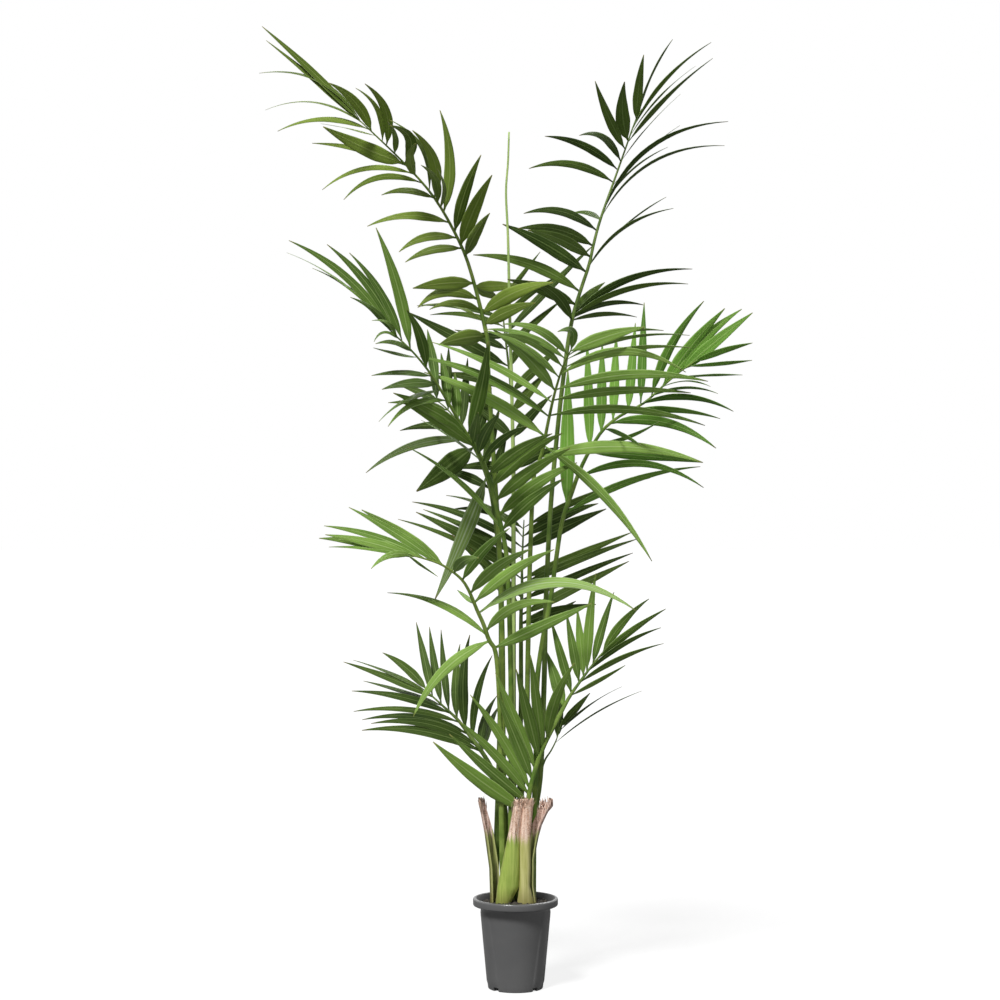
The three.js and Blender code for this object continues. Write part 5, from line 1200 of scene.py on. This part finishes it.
# low on the plate, its streaks, its edges, then the torn top's two colours, the second pale and partly
# painted highlight, and where it starts
BARK = {
    "green": bark_finish("bark_green", (0.27, 0.38, 0.06, 1), (0.44, 0.54, 0.12, 1), (0.6, 0.62, 0.22, 1),
                         TORN_BROWN, TORN_PALE_AND_PAINTED_HIGHLIGHT, 0.73),
    "tan": bark_finish("bark_tan", (0.42, 0.42, 0.12, 1), (0.62, 0.6, 0.25, 1), (0.36, 0.34, 0.1, 1),
                       TORN_BROWN, TORN_PALE_AND_PAINTED_HIGHLIGHT, 0.71),
    "brown": bark_finish("bark_brown", (0.26, 0.3, 0.08, 1), (0.1, 0.1, 0.03, 1), (0.55, 0.58, 0.22, 1),
                         (0.34, 0.19, 0.14, 1), (0.86, 0.66, 0.56, 1), 0.77),
    "frayed": frayed_finish(),
}
POT_PLASTIC = pot_finish("pot_plastic", (0.112, 0.112, 0.113, 1), (0.126, 0.126, 0.126, 1), 0.22)
# the faces that look inwards are painted shade, far darker than the plastic itself
POT_PAINTED_SHADE_INSIDE = pot_finish("pot_painted_shade_inside", (0.015, 0.015, 0.015, 1), (0.025, 0.024, 0.023, 1), 0.5)
SOIL_FINISH = soil_finish("potting_soil", (0.01, 0.009, 0.008, 1), (0.032, 0.029, 0.025, 1))
CRUMB_FINISH = soil_finish("soil_crumbs", (0.012, 0.011, 0.009, 1), (0.08, 0.07, 0.058, 1))


# ---------------------------------------------------------------- assembly
build_pot()
build_soil()
for number, (name, stub) in enumerate(STUBS.items()):
    build_stub(name, stub, number)
for number, (name, frond) in enumerate(FRONDS.items()):
    build_frond(name, frond, number)
build_spear()

# ---------------------------------------------------------------- stage
FLOOR_HALF = 40.0
FLOOR_GREY = 0.22
FLOOR_GLOW = 0.8
LENS = 82.8
SENSOR = 36
LAMPS = {
    "key": {"azimuth": -28, "elevation": 52, "strength": 3.5, "width": 14},
    "fill": {"azimuth": 15, "elevation": 8, "strength": 0.55, "width": 45},
    "rim": {"azimuth": 165, "elevation": 45, "strength": 1.2, "width": 30},
}


def stage_finish():
    """Pale and matt. It shows whiter than it shines, so that it throws little light up into the crown."""
    material, tree, shader = new_finish("stage_pale", Roughness=0.95, Specular_IOR_Level=0.0)
    shader.inputs["Base Color"].default_value = (FLOOR_GREY, FLOOR_GREY, FLOOR_GREY, 1)
    shader.inputs["Emission Color"].default_value = (1, 1, 1, 1)
    seen_ray = add(tree, "ShaderNodeLightPath").outputs["Is Camera Ray"]
    tree.links.new(maths(tree, "MULTIPLY", seen_ray, FLOOR_GLOW), shader.inputs["Emission Strength"])
    return material


def build_stage():
    sheet = bmesh.new()
    bmesh.ops.create_grid(sheet, x_segments=1, y_segments=1, size=FLOOR_HALF)
    mesh = bpy.data.meshes.new("floor")
    sheet.to_mesh(mesh)
    sheet.free()
    mesh.materials.append(stage_finish())
    floor = bpy.data.objects.new("floor", mesh)
    bpy.context.scene.collection.objects.link(floor)


def soft_sun(name, azimuth, elevation, strength, width):
    """A broad soft light from a compass direction, 0 being the front and 90 the right."""
    lamp = bpy.data.lights.new(name, "SUN")
    lamp.energy = strength
    lamp.angle = math.radians(width)
    made = bpy.data.objects.new(name, lamp)
    turn, rise = math.radians(azimuth), math.radians(elevation)
    level = math.cos(rise)
    towards = Vector((math.sin(turn) * level, -math.cos(turn) * level, math.sin(rise)))
    made.rotation_euler = towards.to_track_quat("Z", "Y").to_euler()
    bpy.context.scene.collection.objects.link(made)


def studio_world(seen, mirrored, lit):
    """A white backdrop that lights the plant less than it shows, itself or in a shine."""
    world = bpy.data.worlds.new("studio")
    world.use_nodes = True
    tree = world.node_tree
    background = tree.nodes["Background"]
    background.inputs["Color"].default_value = (1, 1, 1, 1)
    path = add(tree, "ShaderNodeLightPath").outputs
    strength = maths(tree, "MULTIPLY_ADD", path["Is Camera Ray"], seen - lit, lit)
    strength = maths(tree, "MULTIPLY_ADD", path["Is Glossy Ray"], mirrored - lit, strength)
    tree.links.new(strength, background.inputs["Strength"])
    bpy.context.scene.world = world


build_stage()
studio_world(seen=1.0, mirrored=0.9, lit=0.07)
for name, sizes in LAMPS.items():
    soft_sun(name, **sizes)

camera_data = bpy.data.cameras.new("camera")
camera_data.lens = LENS
camera_data.sensor_width = SENSOR
camera = bpy.data.objects.new("camera", camera_data)
camera.location = Vector((VIEW["across"], -VIEW["distance"], VIEW["height"])) * MM
camera.rotation_euler = (math.pi / 2, 0, 0)
bpy.context.scene.collection.objects.link(camera)
bpy.context.scene.camera = camera
bpy.context.scene.view_settings.view_transform = "Standard"
